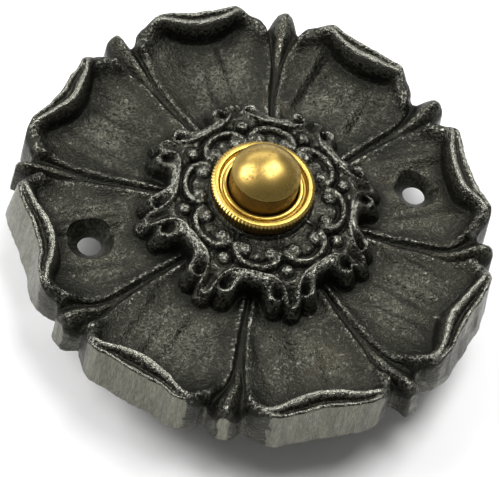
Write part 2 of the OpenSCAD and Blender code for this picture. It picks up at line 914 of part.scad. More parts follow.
module terminal_screw(side, nut_seat_z) {
  seat = base_back_z - terminal_washer_t;
  translate([side * terminal_x, 0, seat])
    slotted_screw(terminal_r, nut_seat_z + nut_h + terminal_over - seat, terminal_head_r, terminal_head_h);
}

module terminal_washer(side) {
  color(brass_colour)
    translate([side * terminal_x, 0, base_back_z - terminal_washer_t])
      difference() {
        cylinder(r = terminal_washer_r, h = terminal_washer_t);
        translate([0, 0, -cut])
          cylinder(r = terminal_hole_r, h = terminal_washer_t + 2 * cut);
      }
}

module terminal_nut(side, seat) {
  color(brass_colour)
    translate([side * terminal_x, 0, seat])
      difference() {
        rotate(30)
          cylinder(r = nut_r, h = nut_h, $fn = 6);
        translate([0, 0, -cut])
          cylinder(r = terminal_r + thread_gap, h = nut_h + 2 * cut);
      }
}

module base_screw(side) {
  seat = base_back_z + base_sink_h;
  translate([0, side * pillar_y, seat])
    slotted_screw(base_screw_r, web_z + web_t - 2 * running_gap - seat, base_head_r, base_head_h);
}

rosette();
ring_nut();
fibre_washer();
barrel();
button();
return_spring();
retaining_clip();
plunger_tip();
contact_base();
moving_leaf();
moving_contact();
fixed_strip();
fixed_contact();
terminal_screw(-1, leaf_top_z);  // terminal_screw_a
terminal_screw(1, base_floor_z + strip_t);  // terminal_screw_b
terminal_washer(-1);  // terminal_washer_a
terminal_washer(1);  // terminal_washer_b
terminal_nut(-1, leaf_top_z);  // terminal_nut_a
terminal_nut(1, base_floor_z + strip_t);  // terminal_nut_b
base_screw(-1);  // base_screw_a
base_screw(1);  // base_screw_b
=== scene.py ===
"""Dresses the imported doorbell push: the cast rosette, the turned brass and the finishes."""

import json
import math

import bpy
import numpy as np
from bpy.props import FloatProperty, FloatVectorProperty, IntProperty, PointerProperty
from mathutils import Matrix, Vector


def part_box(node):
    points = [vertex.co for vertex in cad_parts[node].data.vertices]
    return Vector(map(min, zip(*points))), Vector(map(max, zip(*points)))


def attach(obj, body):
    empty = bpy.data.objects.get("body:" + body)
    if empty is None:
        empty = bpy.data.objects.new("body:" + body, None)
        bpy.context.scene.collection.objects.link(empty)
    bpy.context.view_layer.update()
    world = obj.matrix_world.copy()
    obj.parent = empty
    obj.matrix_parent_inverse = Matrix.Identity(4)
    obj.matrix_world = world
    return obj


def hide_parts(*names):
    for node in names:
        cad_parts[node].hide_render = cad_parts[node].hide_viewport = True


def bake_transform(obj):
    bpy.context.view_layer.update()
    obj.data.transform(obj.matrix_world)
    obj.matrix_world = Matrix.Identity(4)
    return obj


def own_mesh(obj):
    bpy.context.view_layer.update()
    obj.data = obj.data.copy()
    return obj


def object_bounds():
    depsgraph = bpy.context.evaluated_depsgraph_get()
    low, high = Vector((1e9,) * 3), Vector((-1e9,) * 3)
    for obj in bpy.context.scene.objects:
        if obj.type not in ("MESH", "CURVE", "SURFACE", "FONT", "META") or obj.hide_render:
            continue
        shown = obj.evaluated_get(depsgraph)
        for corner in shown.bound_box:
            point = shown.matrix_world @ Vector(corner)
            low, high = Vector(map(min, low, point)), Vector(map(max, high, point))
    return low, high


bl_info = {
    "name": "Doorbell Push",
    "version": (1, 0, 0),
    "blender": (4, 5, 0),
    "location": "3D View > Sidebar > Doorbell",
    "description": "Builds a cast iron doorbell push with a brass button round its packed frame",
    "category": "Add Mesh",
}

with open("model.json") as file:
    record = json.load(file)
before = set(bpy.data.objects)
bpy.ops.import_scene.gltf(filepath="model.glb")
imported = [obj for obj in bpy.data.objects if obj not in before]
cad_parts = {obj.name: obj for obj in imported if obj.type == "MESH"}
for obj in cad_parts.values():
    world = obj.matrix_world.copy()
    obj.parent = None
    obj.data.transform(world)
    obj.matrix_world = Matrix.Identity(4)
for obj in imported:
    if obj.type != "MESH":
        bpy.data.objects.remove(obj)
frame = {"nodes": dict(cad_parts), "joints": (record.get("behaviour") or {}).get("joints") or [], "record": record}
CAD_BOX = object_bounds()

# Shapes are worked out in millimetres and degrees, and the scene is in metres.
MM = 0.001
TO_MM = 1000

# ---- Petals: angles run from a petal's middle to the middle of a sepal ----

PETALS = 8
SECTOR = 360 / PETALS
HALF = SECTOR / 2
PETAL_END_DROP = 1.0
CORNER_REACH = 1.4
CORNER_HALF_W = 10.7
SHOULDER_ANGLE = 8.5
NOTCH_DEPTH = 2.0
NOTCH_SHARE = 0.38
TIP_SHARE = 0.8
OUTLINE_BOW = 0.9
WALL_DRAFT = 0.6
WALL_DRAFT_MIDDLE = 1.7
WALL_FOOT_IN = 0.1

RIDGE_GAP_ANGLE = 2.3
RIDGE_END_ANGLE = 16.3
RIDGE_FLARE_OUT = 2.0
RIDGE_FLARE_L = 13.0
RIDGE_RISE = 0.85
RIDGE_CLIMB_OUT = 1.0
RIDGE_CLIMB_L = 10.0
RIDGE_INNER_W = 0.95
RIDGE_CORNER_W = 1.3
RIDGE_OUTER_W = 0.55
SHOULDER_OUTER_W = 1.1
BLEND_H = 0.4
PETAL_DISH = 0.5
PETAL_HALF_W = 10.0
SHOULDER_DROP = 1.5
CORNER_RISE = 2.5
CORNER_IN = 9.0
CORNER_SIDE = 3.0
CORNER_SIDE_W = 8.0
GROOVE_DROP = 0.15
GROOVE_FALL = 1.1

SEPAL_L = 12.0
SEPAL_FLAT = 0.35
SEPAL_SLOPE = 1.0

LIP_END_W = 3.6
LIP_BAND = 2.1
LIP_BAND_LEAST = 0.9
LIP_RISE_W = 1.8
SHOULDER_RISE_W = 4.0
LIP_GROOVE = 1.15
LIP_GROOVE_W_SHARE = 0.18
LIP_GROOVE_PLACE_SHARE = 0.55
LIP_EDGE_DROP = 0.7
LIP_EDGE_ROUND = 0.4
SHOULDER_ROUND = 2.2
COVE_DEPTH = 0.6
COVE_PLACE = 3.0
COVE_W = 1.3

# ---- Collar ----

SEAT_R = 9.2
SEAT_STEP = 0.6
SEAT_SLOPE_W = 0.5
COLLAR_END_R = 23.4
COLLAR_EDGE_W = 1.15
ROLL_W = 2.5
ROLL_OUT = 0.6
INNER_FALL = 1.0
INNER_FALL_R = 9.0
INNER_FALL_W = 14.0
OUTER_FALL = 2.5
OUTER_FALL_R = 17.0
OUTER_FALL_W = 6.0
CENTRE_TIP_R = 22.3
CENTRE_LOBE_ANGLE = 4.8
CENTRE_LOBE_H = 1.7
SIDE_TIP_R = 21.4
SIDE_LOBE_ANGLE = 9.4
SIDE_LOBE_HALF_ANGLE = 4.9
SIDE_LOBE_H = 1.6
KNOB_ANGLE = 9.2
KNOB_R = 20.2
KNOB_SIZE = 1.1
KNOB_H = 0.6
EDGE_RIM_PLACE = 0.9
EDGE_RIM_W = 0.45
EDGE_RIM_H = 0.4
EDGE_RIM_START = 17.6
EDGE_RIM_L = 1.6
ARCH_R = 15.8
ARCH_HALF_W = 4.95
ARCH_H = 0.65
FORK_R = 17.0
FORK_HALF_W = 2.6
FORK_H = 0.65
FORK_PLACE = 0.45
FORK_W = 0.8
RIB_W = 0.36
FLAT_H = 0.35
SIDE_CHANNEL_H = 1.7
CENTRE_CHANNEL_H = 0.9
CHANNEL_START_R = 17.0
CHANNEL_GROW_W = 2.2
NOTCH_WALL_W = 0.7
NOTCH_WALL_START = 0.3
SCROLL_R = 11.9
SCROLL_RADIAL = 2.8
SCROLL_HALF_W = 3.95
SCROLL_BAND_W = 0.58
SCROLL_BAND_H = 0.75
SCROLL_OPEN_ANGLE = 50
MOAT_OPEN_ANGLE = 65
SCROLL_FADE_ANGLE = 40
MOAT_PLACE = 0.8
MOAT_W = 0.35
MOAT_H = 0.7
INNER_GROOVE_H = 0.55
INNER_GROOVE_PLACE = 1.05
EYE_ANGLE = 12.0
EYE_SIZE = 1.45
EYE_H = 0.9
CUSP_H = 0.4
CUSP_W = 0.7
CUSP_L = 1.0
BEAD_R = 15.1
BEAD_SIZE = 1.25
BEAD_H = 0.8
BEAD_CLEAR_W = 1.2
BEAD_MOAT_H = 0.4
BEAD_MOAT_PLACE = 1.5
LINE_H = 0.35
LINE_W = 0.3
LINE_END_R = 13.6

# ---- Hand carving: how far the casting lies off the drawing ----

COLLAR_HOLD_R = 17.0
COLLAR_HOLD_W = 9.0
PETAL_END_ANGLE = 13.0
CORNER_FADE_ANGLE = 6.0
REACH_START_R = 33.0
OUTER_START_R = 34.0
OUTER_GROW_W = 6.0
SPREAD_START_ANGLE = 6.0
SPREAD_GROW_ANGLE = 6.0
SPREAD_FADE_ANGLE = 4.0
COLLAR_SHIFT = (0.66, -0.39)
COLLAR_STRETCH = (-0.05, -0.013)
# Sepals from 22.5 degrees on: turn of their ridges, turn and reach of their tips
RIDGE_TURN = (-0.65, 0.75, -0.5, -0.8, 1.9, 1.9, -1.0, -3.0)
TIP_TURN = (0.1, 0.4, -0.5, 0.5, 0.0, 0.0, 0.0, -0.3)
TIP_REACH = (0.6, 2.0, 2.0, 0.9, 0.0, 0.0, 2.0, 0.3)
# Petals from 0 degrees on: reach of the top edge at its clockwise end, middle and other end
LIP_REACH = (
    (-0.5, -1.5, 0.2, 0.4, 0.0, 0.0, 0.3, 0.9),
    (-1.6, 0.1, 1.0, 0.0, -1.3, 0.0, 0.6, 0.9),
    (-1.5, 0.3, 1.0, 0.9, 0.2, 0.2, 1.0, 0.5),
)
# Half width of the rolled lip
LIP_HALF_W = (9.8, 8.7, 8.3, 8.7, 10.2, 10.2, 10.3, 10.2)
# Reach of the foot of the ground face, at the same three places
FOOT_REACH = (
    (-0.5, -1.5, 0.0, 0.4, 0.9, -0.3, 0.0, 1.0),
    (-1.6, 0.1, 0.0, 0.0, -1.0, -0.7, 0.0, 1.0),
    (-1.5, 0.3, 0.0, 0.9, -0.5, -0.2, 0.6, 0.4),
)
# How far the clockwise corner and the other corner slide along the edge
CORNER_SPREAD = (
    (0.0, 0.0, 0.0, 0.0, -1.8, 0.0, 0.0, 0.0),
    (0.0, 0.0, 0.9, 0.4, 0.0, 0.0, 1.2, 0.6),
)

# ---- Hollow back and bore of the casting ----

BORE_R = 7.3
RIM_W = 5.5
SHELL_Z = 2.4
HOLLOW_RIM_Z = 1.4
PLATE_T = 3.6
WELL_R = 14.0
WELL_STEP_Z = 1.0
WELL_SLOPE_W = 2.0
WELL_FOOT_W = 3.0
HOLLOW_STEP_Z = 0.6

# ---- The casting's mesh: rows over each part of the face, and its columns ----

SEAT_ROWS = 6
COLLAR_ROWS = 70
FLOOR_ROWS = 26
COVE_ROWS = 14
LIP_ROWS = 13
WALL_SHARES = (0.03, 0.07, 0.12, 0.2, 0.3, 0.4, 0.5, 0.6, 0.7, 0.8, 0.9, 0.96)
CARVED_START_R = 20.0
CARVED_GROW_W = 5.0
RIDGE_COLUMN_SHARE = 0.7
COLUMN_TURN_W = 5.0
EDGE_TABLE_IN = 8
EDGE_TABLE_OUT = 4
EDGE_TABLE_STEP = 0.08
EDGE_TABLE_ANGLES = 150
EDGE_TABLE_PAST_ANGLE = 12
EDGE_TABLE_POINTS = 700

# ---- Wear, painted shade in the hollows, and the unevenness of the rough casting ----

# Layers of relief: radius of the blur, height that counts in full, and share
CREST_LAYERS = ((0.55, 0.2, 0.6), (2.2, 1.1, 0.5))
# The second set is patina and painted shade in the hollows.
PATINA_AND_SHADE_LAYERS = ((2.2, 0.9, 0.7), (0.55, 0.16, 0.45))
RELIEF_STEP = 0.15
RELIEF_REACH = 45.0
RELIEF_LEAST_SHARE = 0.05
FACE_FADE_H = 1.5
# How much of each petal's end is ground bare
GROUND_SHARE = (0.6, 0.9, 0.9, 0.9, 1.0, 1.0, 1.0, 0.5)
GROUND_PETAL_ANGLE = 13.6
GROUND_PETAL_FADE = 1.2
GROUND_PETAL_RAGGED = 0.7
GROUND_SEPAL_ANGLE = 20.6
GROUND_SEPAL_FADE = 0.8
GROUND_SEPAL_RAGGED = 0.4
GROUND_EDGE_W = 0.1
BARE_FOOT_H = 0.3
BARE_FOOT_FADE_W = 0.5
RIDGE_SHELTER = 0.5
RIDGE_SHELTER_GROW_W = 2.0
RIDGE_SHELTER_END_R = 37.5
RIDGE_SHELTER_FADE_W = 4.0
SHOULDER_SHELTER = 0.5
SHOULDER_SHELTER_GROW_W = 4.0
LIP_WEAR = 0.6
LIP_CREST_WEAR_W = 0.6
LIP_EDGE_WEAR_W = 0.35
# Painted shade on the floor beside each ridge: its strength, width and growth.
GUTTER_SHADE = 0.55
GUTTER_W = 2.4
GUTTER_GROW_W = 2.0
FLOOR_START_R = 22.0
FLOOR_END_IN = 3.5
FLOOR_FADE_W = 4.0
SEAT_CLEAR_W = 0.2
SEAT_FADE_W = 0.6
# Layers of unevenness: share, wavelength and seed
FACE_LAYERS = ((0.8, 9.0, 3), (0.2, 2.6, 5))
OUTLINE_LAYERS = ((0.12, 7.0, 11), (0.05, 1.8, 12))
FOLD_SHARE = 4.6
FOLD_WAVE = 4.6
FOLD_STRETCH = 0.1
FOLD_HALF_W = 9.0
FOLD_FADE_W = 3.0
FOLD_SEED = 40

# ---- Flexing parts, in metres: where each is held, and where it would follow the button ----

LEAF_ROOT = (-0.0073, 0.0, 0.0016)
LEAF_FOLLOWS = (-0.0007, 0.0, 0.0016)
STRIP_ROOT = (0.0080, 0.0, -0.0016)
STRIP_FOLLOWS = (-0.0125, 0.0, -0.0016)


def ease(t):
    """A smooth step from 0 to 1."""
    c = np.clip(t, 0, 1)
    return c * c * (3 - 2 * c)


def mix(a, b, t):
    return a + (b - a) * t


def bump(d, w):
    """A soft ridge of height 1 and half width w."""
    return np.exp(-((d / w) ** 2))


def dome(t):
    """A round cap that falls from 1 in the middle to 0 at t = 1."""
    return np.sqrt(np.maximum(0, 1 - t * t))


def soft_max(a, b, blend):
    """The larger of a and b, with a soft change between them."""
    return (a + b + np.hypot(a - b, blend)) / 2


def sin_of(angle):
    return np.sin(np.radians(angle))


def cos_of(angle):
    return np.cos(np.radians(angle))


def polar(x, y):
    """Radius, and angle in degrees."""
    return np.hypot(x, y), np.degrees(np.arctan2(y, x))


def look_up(table, columns, rows, x, y):
    """Reads a table between its entries. Its columns and rows stand at even steps."""
    u = np.clip((x - columns[0]) / (columns[1] - columns[0]), 0, len(columns) - 1.001)
    v = np.clip((y - rows[0]) / (rows[1] - rows[0]), 0, len(rows) - 1.001)
    i, j = np.floor(u).astype(int), np.floor(v).astype(int)
    low = mix(table[j, i], table[j, i + 1], u - i)
    high = mix(table[j + 1, i], table[j + 1, i + 1], u - i)
    return mix(low, high, v - j)


def wander(x, y, wavelength, seed):
    """Smooth seeded unevenness, mostly between -1 and 1, from waves in random directions."""
    rng = np.random.default_rng(seed)
    total, count = 0, 14
    for _ in range(count):
        turn, phase = rng.uniform(0, 2 * np.pi, 2)
        pitch = rng.uniform(0.7, 1.5) * 2 * np.pi / wavelength
        total = total + np.cos(pitch * (x * np.cos(turn) + y * np.sin(turn)) + phase)
    return total / math.sqrt(count)


def layered(x, y, layers):
    """Unevenness of several wavelengths."""
    return sum(share * wander(x, y, wavelength, seed) for share, wavelength, seed in layers)


# ---- Settings ----


class RosetteSettings(bpy.types.PropertyGroup):
    """Sizes of the cast rosette."""

    radius: FloatProperty(
        name="Radius", description="From the axis to the sepal tips", default=0.042, unit="LENGTH"
    )
    floor_height: FloatProperty(
        name="Petal floor", description="Height of the petal floor above the wall",
        default=0.0054, unit="LENGTH",
    )
    lip_height: FloatProperty(
        name="Lip", description="Height of the rolled lip at the petal ends",
        default=0.0103, unit="LENGTH",
    )
    sepal_height: FloatProperty(
        name="Sepals", description="Height of the sepal tips", default=0.0084, unit="LENGTH"
    )
    seat_height: FloatProperty(
        name="Seat", description="Height of the seat under the ring nut",
        default=0.0118, unit="LENGTH",
    )
    carve: FloatProperty(
        name="Carving", description="Strength of the carving on the collar", default=1.0
    )
    screw_pitch: FloatProperty(
        name="Screw pitch", description="Distance between the two screw holes",
        default=0.060, unit="LENGTH",
    )
    screw_diameter: FloatProperty(
        name="Screw hole", description="Diameter of the screw holes",
        default=0.0042, unit="LENGTH",
    )
    sink_diameter: FloatProperty(
        name="Countersink", description="Diameter of the countersinks", default=0.0084,
        unit="LENGTH",
    )
    columns: IntProperty(
        name="Columns", description="Faces round each petal's sector, an even number", default=70
    )
    unevenness: FloatProperty(
        name="Unevenness", description="How far the rough casting strays from its drawing",
        default=0.00009, unit="LENGTH",
    )


class IronSettings(bpy.types.PropertyGroup):
    """Colours of the cast iron."""

    patina: FloatVectorProperty(
        name="Patina", description="Dark finish in the open", subtype="COLOR",
        default=(0.023, 0.0230, 0.0180),
    )
    patina_pale: FloatVectorProperty(
        name="Pale patina", description="Where the finish is rubbed thin", subtype="COLOR",
        default=(0.076, 0.0755, 0.0590),
    )
    patina_brown: FloatVectorProperty(
        name="Brown patina", description="Warm stains in the finish", subtype="COLOR",
        default=(0.042, 0.038, 0.027),
    )
    # Patina and painted shade in the deep places.
    patina_and_shade: FloatVectorProperty(
        name="Recess", description="Finish in the deep places", subtype="COLOR",
        default=(0.015, 0.015, 0.012),
    )
    burnish: FloatVectorProperty(
        name="Burnish", description="Bare metal on the crests", subtype="COLOR",
        default=(0.21, 0.21, 0.178),
    )
    ground: FloatVectorProperty(
        name="Ground edge", description="Bare metal of the ground outer walls", subtype="COLOR",
        default=(0.185, 0.182, 0.142),
    )


class BrassSettings(bpy.types.PropertyGroup):
    """Colours and knurl of the turned brass."""

    bright: FloatVectorProperty(
        name="Bright", description="Freshly turned brass", subtype="COLOR",
        default=(0.60, 0.42, 0.105),
    )
    satin: FloatVectorProperty(
        name="Satin", description="Handled brass of the button", subtype="COLOR",
        default=(0.50, 0.345, 0.095),
    )
    # Brown tarnish; also the colour of the painted shade low on the turned brass.
    tarnish: FloatVectorProperty(
        name="Tarnish", description="Brown tarnish", subtype="COLOR", default=(0.17, 0.105, 0.030)
    )
    knurls: IntProperty(name="Knurls", description="Grooves in the ring nut's knurl", default=84)


class StageSettings(bpy.types.PropertyGroup):
    """Camera, lights and floor."""

    azimuth: FloatProperty(
        name="Azimuth", description="Camera's turn about the push", subtype="ANGLE",
        default=math.radians(-26.985),
    )
    elevation: FloatProperty(
        name="Elevation", description="Camera's height angle", subtype="ANGLE",
        default=math.radians(57.159),
    )
    roll: FloatProperty(
        name="Roll", description="Camera's turn about its own axis", subtype="ANGLE",
        default=math.radians(14.176),
    )
    distance: FloatProperty(
        name="Distance", description="From the camera to the aim point", default=0.39216,
        unit="LENGTH",
    )
    aim: FloatVectorProperty(
        name="Aim", description="Point in the middle of the view", subtype="XYZ", unit="LENGTH",
        default=(-0.000614, -0.001273, -0.000912),
    )
    lens: FloatProperty(name="Lens", description="Focal length in millimetres", default=158.4)
    floor: FloatVectorProperty(
        name="Floor", description="Colour of the floor", subtype="COLOR",
        default=(0.92, 0.92, 0.92),
    )


# ---- Shader maths ----


class Value:
    """A socket of a finish. Arithmetic on it adds Math nodes."""

    def __init__(self, finish, socket):
        self.finish = finish
        self.socket = socket

    def __add__(self, other):
        return self.finish.math("ADD", self, other)

    def __radd__(self, other):
        return self.finish.math("ADD", other, self)

    def __sub__(self, other):
        return self.finish.math("SUBTRACT", self, other)

    def __rsub__(self, other):
        return self.finish.math("SUBTRACT", other, self)

    def __mul__(self, other):
        return self.finish.math("MULTIPLY", self, other)

    def __rmul__(self, other):
        return self.finish.math("MULTIPLY", other, self)

    def clamped(self):
        """The value kept between 0 and 1."""
        return self.finish.math("ADD", self, 0, clamp=True)

    def step(self, low, high):
        """A smooth step from 0 at low to 1 at high."""
        return self.finish.node(
            "ShaderNodeMapRange",
            {"interpolation_type": "SMOOTHSTEP"},
            {"Value": self, "From Min": low, "From Max": high},
        )


class Finish:
    """A material that is built node by node."""

    def __init__(self, name):
        self.material = bpy.data.materials.new(name)
        self.material.use_nodes = True
        self.tree = self.material.node_tree
        self.tree.nodes.clear()

    def node(self, kind, settings=None, inputs=None, output=0):
        """Adds a node: its settings first, then its sockets' values or links.

        Returns the output that is named, or a list if output is a list of names.
        """
        made = self.tree.nodes.new(kind)
        for key, value in (settings or {}).items():
            setattr(made, key, value)
        for key, value in (inputs or {}).items():
            if isinstance(value, Value):
                self.tree.links.new(value.socket, made.inputs[key])
            else:
                made.inputs[key].default_value = value
        if isinstance(output, list):
            return [Value(self, made.outputs[name]) for name in output]
        return Value(self, made.outputs[output]) if made.outputs else None

    def math(self, operation, *values, clamp=False):
        settings = {"operation": operation, "use_clamp": clamp}
        return self.node("ShaderNodeMath", settings, dict(enumerate(values)))

    def place(self):
        """Position on the piece, in metres."""
        return self.node("ShaderNodeTexCoord", output="Object")

    def attribute(self, name):
        return self.node("ShaderNodeAttribute", {"attribute_name": name}, output="Fac")

    def stretched(self, place, x, y, z):
        settings = {"operation": "MULTIPLY"}
        return self.node("ShaderNodeVectorMath", settings, {0: place, 1: (x, y, z)})

    def noise(self, place, size, detail, rough=0.5, warp=0.0):
        """Cloudy noise whose lumps are about size metres across."""
        sockets = {
            "Vector": place, "Scale": 1 / size, "Detail": detail,
            "Roughness": rough, "Distortion": warp,
        }
        return self.node("ShaderNodeTexNoise", {}, sockets, output="Fac")

    def blend(self, factor, a, b):
        """Colour a where factor is 0 and colour b where it is 1."""
        a, b = (c if isinstance(c, Value) else (*c, 1.0) for c in (a, b))
        settings = {"data_type": "RGBA", "clamp_factor": True}
        return self.node("ShaderNodeMix", settings, {0: factor, 6: a, 7: b}, output=2)

    def bump(self, height, depth, strength):
        """A normal from a height of 0 to 1 that stands for depth metres."""
        sockets = {"Height": height, "Distance": depth, "Strength": strength}
        return self.node("ShaderNodeBump", {}, sockets)

    def surface(self, **sockets):
        """Ends the finish in one shader. Names are the shader's own, with _ for spaces."""
        named = {key.replace("_", " "): value for key, value in sockets.items()}
        shader = self.node("ShaderNodeBsdfPrincipled", {}, named)
        self.node("ShaderNodeOutputMaterial", {}, {"Surface": shader})
        return self.material


def iron_finish(look):
    """Cast iron: dark patina with painted shade in the hollows, broken burnish on the crests, ground bare metal on
    the walls.
    """
    f = Finish("cast_iron")
    place = f.place()
    crest = f.attribute("crest")
    patina_and_shade = f.attribute("patina_and_shade")
    ground = f.attribute("ground")
    sand = f.noise(place, 0.0006, detail=2, rough=0.85).step(0.34, 0.66)
    grit = f.noise(place, 0.0015, detail=3, rough=0.6)
    cloud = f.noise(place, 0.006, detail=4, rough=0.55, warp=0.3)
    stain = f.noise(place, 0.011, detail=3)
    rust = f.noise(place, 0.0008, detail=2)
    file_marks = f.noise(f.stretched(place, 1, 1, 0.09), 0.00020, detail=2, rough=0.6)
    gouges = f.noise(f.stretched(place, 1, 1, 0.05), 0.0009, detail=2)

    # Hollows, darkened by patina and painted shade, are rubbed less.
    rubbed = (cloud * 1.3 + sand * 0.7 + grit * 0.3 - patina_and_shade * 0.4).step(0.8, 1.6)
    colour = f.blend(rubbed, look.patina, look.patina_pale)
    warm = stain.step(0.48, 0.7) * 0.5 + rust.step(0.52, 0.7) * 0.35
    colour = f.blend(warm.clamped(), colour, look.patina_brown)
    # Painted shade with patina: the hollows and the floor beside the ridges are darkened.
    colour = f.blend((patina_and_shade * 1.1).clamped() * 0.85, colour, look.patina_and_shade)
    bare = (crest + (sand - 0.5) * 1.3 + (grit - 0.5) * 0.6).step(0.5, 1.25)
    colour = f.blend(bare * 0.85, colour, look.burnish)
    cut = (ground + (grit - 0.5) * 0.9 + (cloud - 0.5) * 1.9).step(0.42, 0.56)
    marks = (file_marks * 0.8 + gouges * 0.5).step(0.45, 0.95)
    lined = f.blend(marks, look.patina_pale, look.ground)
    colour = f.blend(cut, colour, lined)

    rough = 0.35 - (cloud - 0.5) * 0.35 + (sand - 0.5) * 0.15 + patina_and_shade * 0.14 - bare * 0.13
    height = sand * (1 - cut) * 0.5 + grit * 0.45 * (1 - cut * 0.6) + file_marks * cut * 0.5
    return f.surface(
        Base_Color=colour,
        Metallic=0.92,
        Roughness=rough.clamped(),
        Normal=f.bump(height, 0.00022, 0.8),
    )


def bored_iron_finish(look):
    """The drilled walls of the screw holes, under the same dark finish."""
    f = Finish("bored_iron")
    place = f.place()
    sand = f.noise(place, 0.0005, detail=2)
    rings = f.noise(f.stretched(place, 0.1, 0.1, 1), 0.0003, detail=1)
    colour = f.blend(sand.step(0.35, 0.75), look.patina, look.patina_pale)
    return f.surface(
        Base_Color=colour,
        Metallic=0.9,
        Roughness=0.58 + (sand - 0.5) * 0.2,
        Normal=f.bump(rings * 0.5 + sand * 0.5, 0.00008, 0.6),
    )


def turned_brass_finish(name, colour, tarnish, rough, spots, shade_below_z, dark_outside_r=0.02):
    """Turned brass: fine rings from the tool, brown tarnish in spots and clouds.

    Painted shade darkens the brass below the given height, and the brass is darker outside the given radius too,
    both in metres.
    """
    f = Finish(name)
    place = f.place()
    x, y, height = f.node("ShaderNodeSeparateXYZ", {}, {0: place}, output=["X", "Y", "Z"])
    radius = f.math("SQRT", x * x + y * y)
    rings_at = f.node("ShaderNodeCombineXYZ", {}, {0: radius, 1: height, 2: 0.0})
    rings = f.noise(rings_at, 0.00016, detail=2)
    cloud = f.noise(place, 0.0035, detail=4, warp=0.4)
    fleck = f.noise(place, 0.0006, detail=3, rough=0.7)
    # Painted shade: low down, where the piece sits in the dark gap among the other parts, the brass is darkened.
    low = height.step(shade_below_z, shade_below_z - 0.0006)
    # The knurl outside the given radius is darker too.
    outer = radius.step(dark_outside_r, dark_outside_r + 0.0003)
    spotted = (cloud * 0.55 + fleck * 0.65).step(0.52, 0.86) * spots
    # The mix holds real tarnish spots and the painted shade.
    dark = (spotted + low * 0.75 + outer * 0.55).clamped()
    toned = f.blend(dark, colour, tarnish)
    toned = f.blend(rings.step(0.35, 0.8) * 0.18, toned, tarnish)
    return f.surface(
        Base_Color=toned,
        Metallic=1.0,
        Roughness=(rough + (cloud - 0.5) * 0.12 + dark * 0.2).clamped(),
        Normal=f.bump(rings * 0.7 + fleck * 0.3, 0.00002, 0.5),
    )


def moulding_finish():
    """Moulded phenolic: near black brown with a faint swirl and a soft gloss."""
    f = Finish("moulding")
    place = f.place()
    swirl = f.noise(place, 0.006, detail=3, warp=1.2)
    grain = f.noise(place, 0.0004, detail=2)
    dark, brown = (0.020, 0.015, 0.012), (0.045, 0.030, 0.020)
    colour = f.blend(swirl.step(0.45, 0.7), dark, brown)
    return f.surface(
        Base_Color=colour,
        Roughness=0.34 + (grain - 0.5) * 0.14,
        Normal=f.bump(grain, 0.00003, 0.4),
    )


def fibre_finish():
    """Vulcanised fibre: matt red brown with paper grain."""
    f = Finish("fibre")
    place = f.place()
    grain = f.noise(f.stretched(place, 1, 0.3, 1), 0.0005, detail=3)
    dark, pale = (0.16, 0.038, 0.022), (0.27, 0.075, 0.042)
    colour = f.blend(grain.step(0.3, 0.75), dark, pale)
    return f.surface(
        Base_Color=colour,
        Roughness=0.72 + (grain - 0.5) * 0.15,
        Normal=f.bump(grain, 0.00004, 0.5),
    )


def drawn_metal_finish(name, colour, shade, rough):
    """Drawn or stamped metal with fine lines and light handling marks."""
    f = Finish(name)
    place = f.place()
    lines = f.noise(f.stretched(place, 1, 0.12, 1), 0.00025, detail=2)
    cloud = f.noise(place, 0.003, detail=3)
    toned = f.blend((lines * 0.4 + cloud * 0.6).step(0.4, 0.75), colour, shade)
    return f.surface(
        Base_Color=toned,
        Metallic=1.0,
        Roughness=rough + (cloud - 0.5) * 0.16,
        Normal=f.bump(lines, 0.00002, 0.4),
    )


# ---- Mesh helpers ----


def new_piece(name, points, faces):
    """A mesh object from points in millimetres."""
    mesh = bpy.data.meshes.new(name)
    mesh.from_pydata((np.asarray(points, float) * MM).tolist(), [], faces)
    mesh.update()
    if mesh.validate():
        raise RuntimeError(f"{name}: the mesh had faults")
    piece = bpy.data.objects.new(name, mesh)
    bpy.context.scene.collection.objects.link(piece)
    return piece


def round_corners(profile, steps):
    """Rounds the corners of a closed profile. Each corner is (radius, z, fillet)."""
    smooth = []
    count = len(profile)
    for i, (r, z, fillet) in enumerate(profile):
        here = np.array([r, z])
        before = np.array(profile[i - 1][:2]) - here
        after = np.array(profile[(i + 1) % count][:2]) - here
        if fillet <= 0:
            smooth.append(here)
            continue
        before /= np.linalg.norm(before)
        after /= np.linalg.norm(after)
        half_turn = math.acos(np.clip(before @ after, -1, 1)) / 2
        back = fillet / math.tan(half_turn)
        start, end = here + before * back, here + after * back
        for k in range(steps + 1):
            t = k / steps
            smooth.append(start * (1 - t) ** 2 + here * 2 * t * (1 - t) + end * t * t)
    return np.array(smooth)


def lathe(name, profile, columns, radius_of=None):
    """A turned piece from a profile that runs counter-clockwise in (radius, z).

    Points on the axis become one point each. radius_of(r, z, turn) may change the radius,
    as a knurl does.
    """
    turn = np.arange(columns) * 360 / columns
    points, rings = [], []
    for r, z in profile:
        if r <= 1e-9:
            rings.append([len(points)])
            points.append((0, 0, z))
            continue
        radius = radius_of(r, z, turn) if radius_of else np.full(columns, r)
        rings.append(range(len(points), len(points) + columns))
        points.extend(zip(radius * cos_of(turn), radius * sin_of(turn), np.full(columns, z)))
    faces = []
    for i, low in enumerate(rings):
        high = rings[(i + 1) % len(rings)]
        if len(low) == 1 and len(high) == 1:
            continue
        for j in range(columns):
            k = (j + 1) % columns
            corners = [low[j % len(low)], low[k % len(low)]]
            corners += [high[k % len(high)], high[j % len(high)]]
            faces.append(list(dict.fromkeys(corners)))
    return new_piece(name, points, faces)


def finish_turned(piece, finish, sharp_angle):
    """Adds the finish and smooth shading, broken at edges over sharp_angle degrees."""
    piece.data.materials.append(finish)
    piece.data.shade_smooth()
    piece.data.set_sharp_from_angle(angle=math.radians(sharp_angle))


def place_piece(piece, body, node):
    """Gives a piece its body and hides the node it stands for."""
    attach(piece, body)
    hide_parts(node)


# ---- The casting's form ----


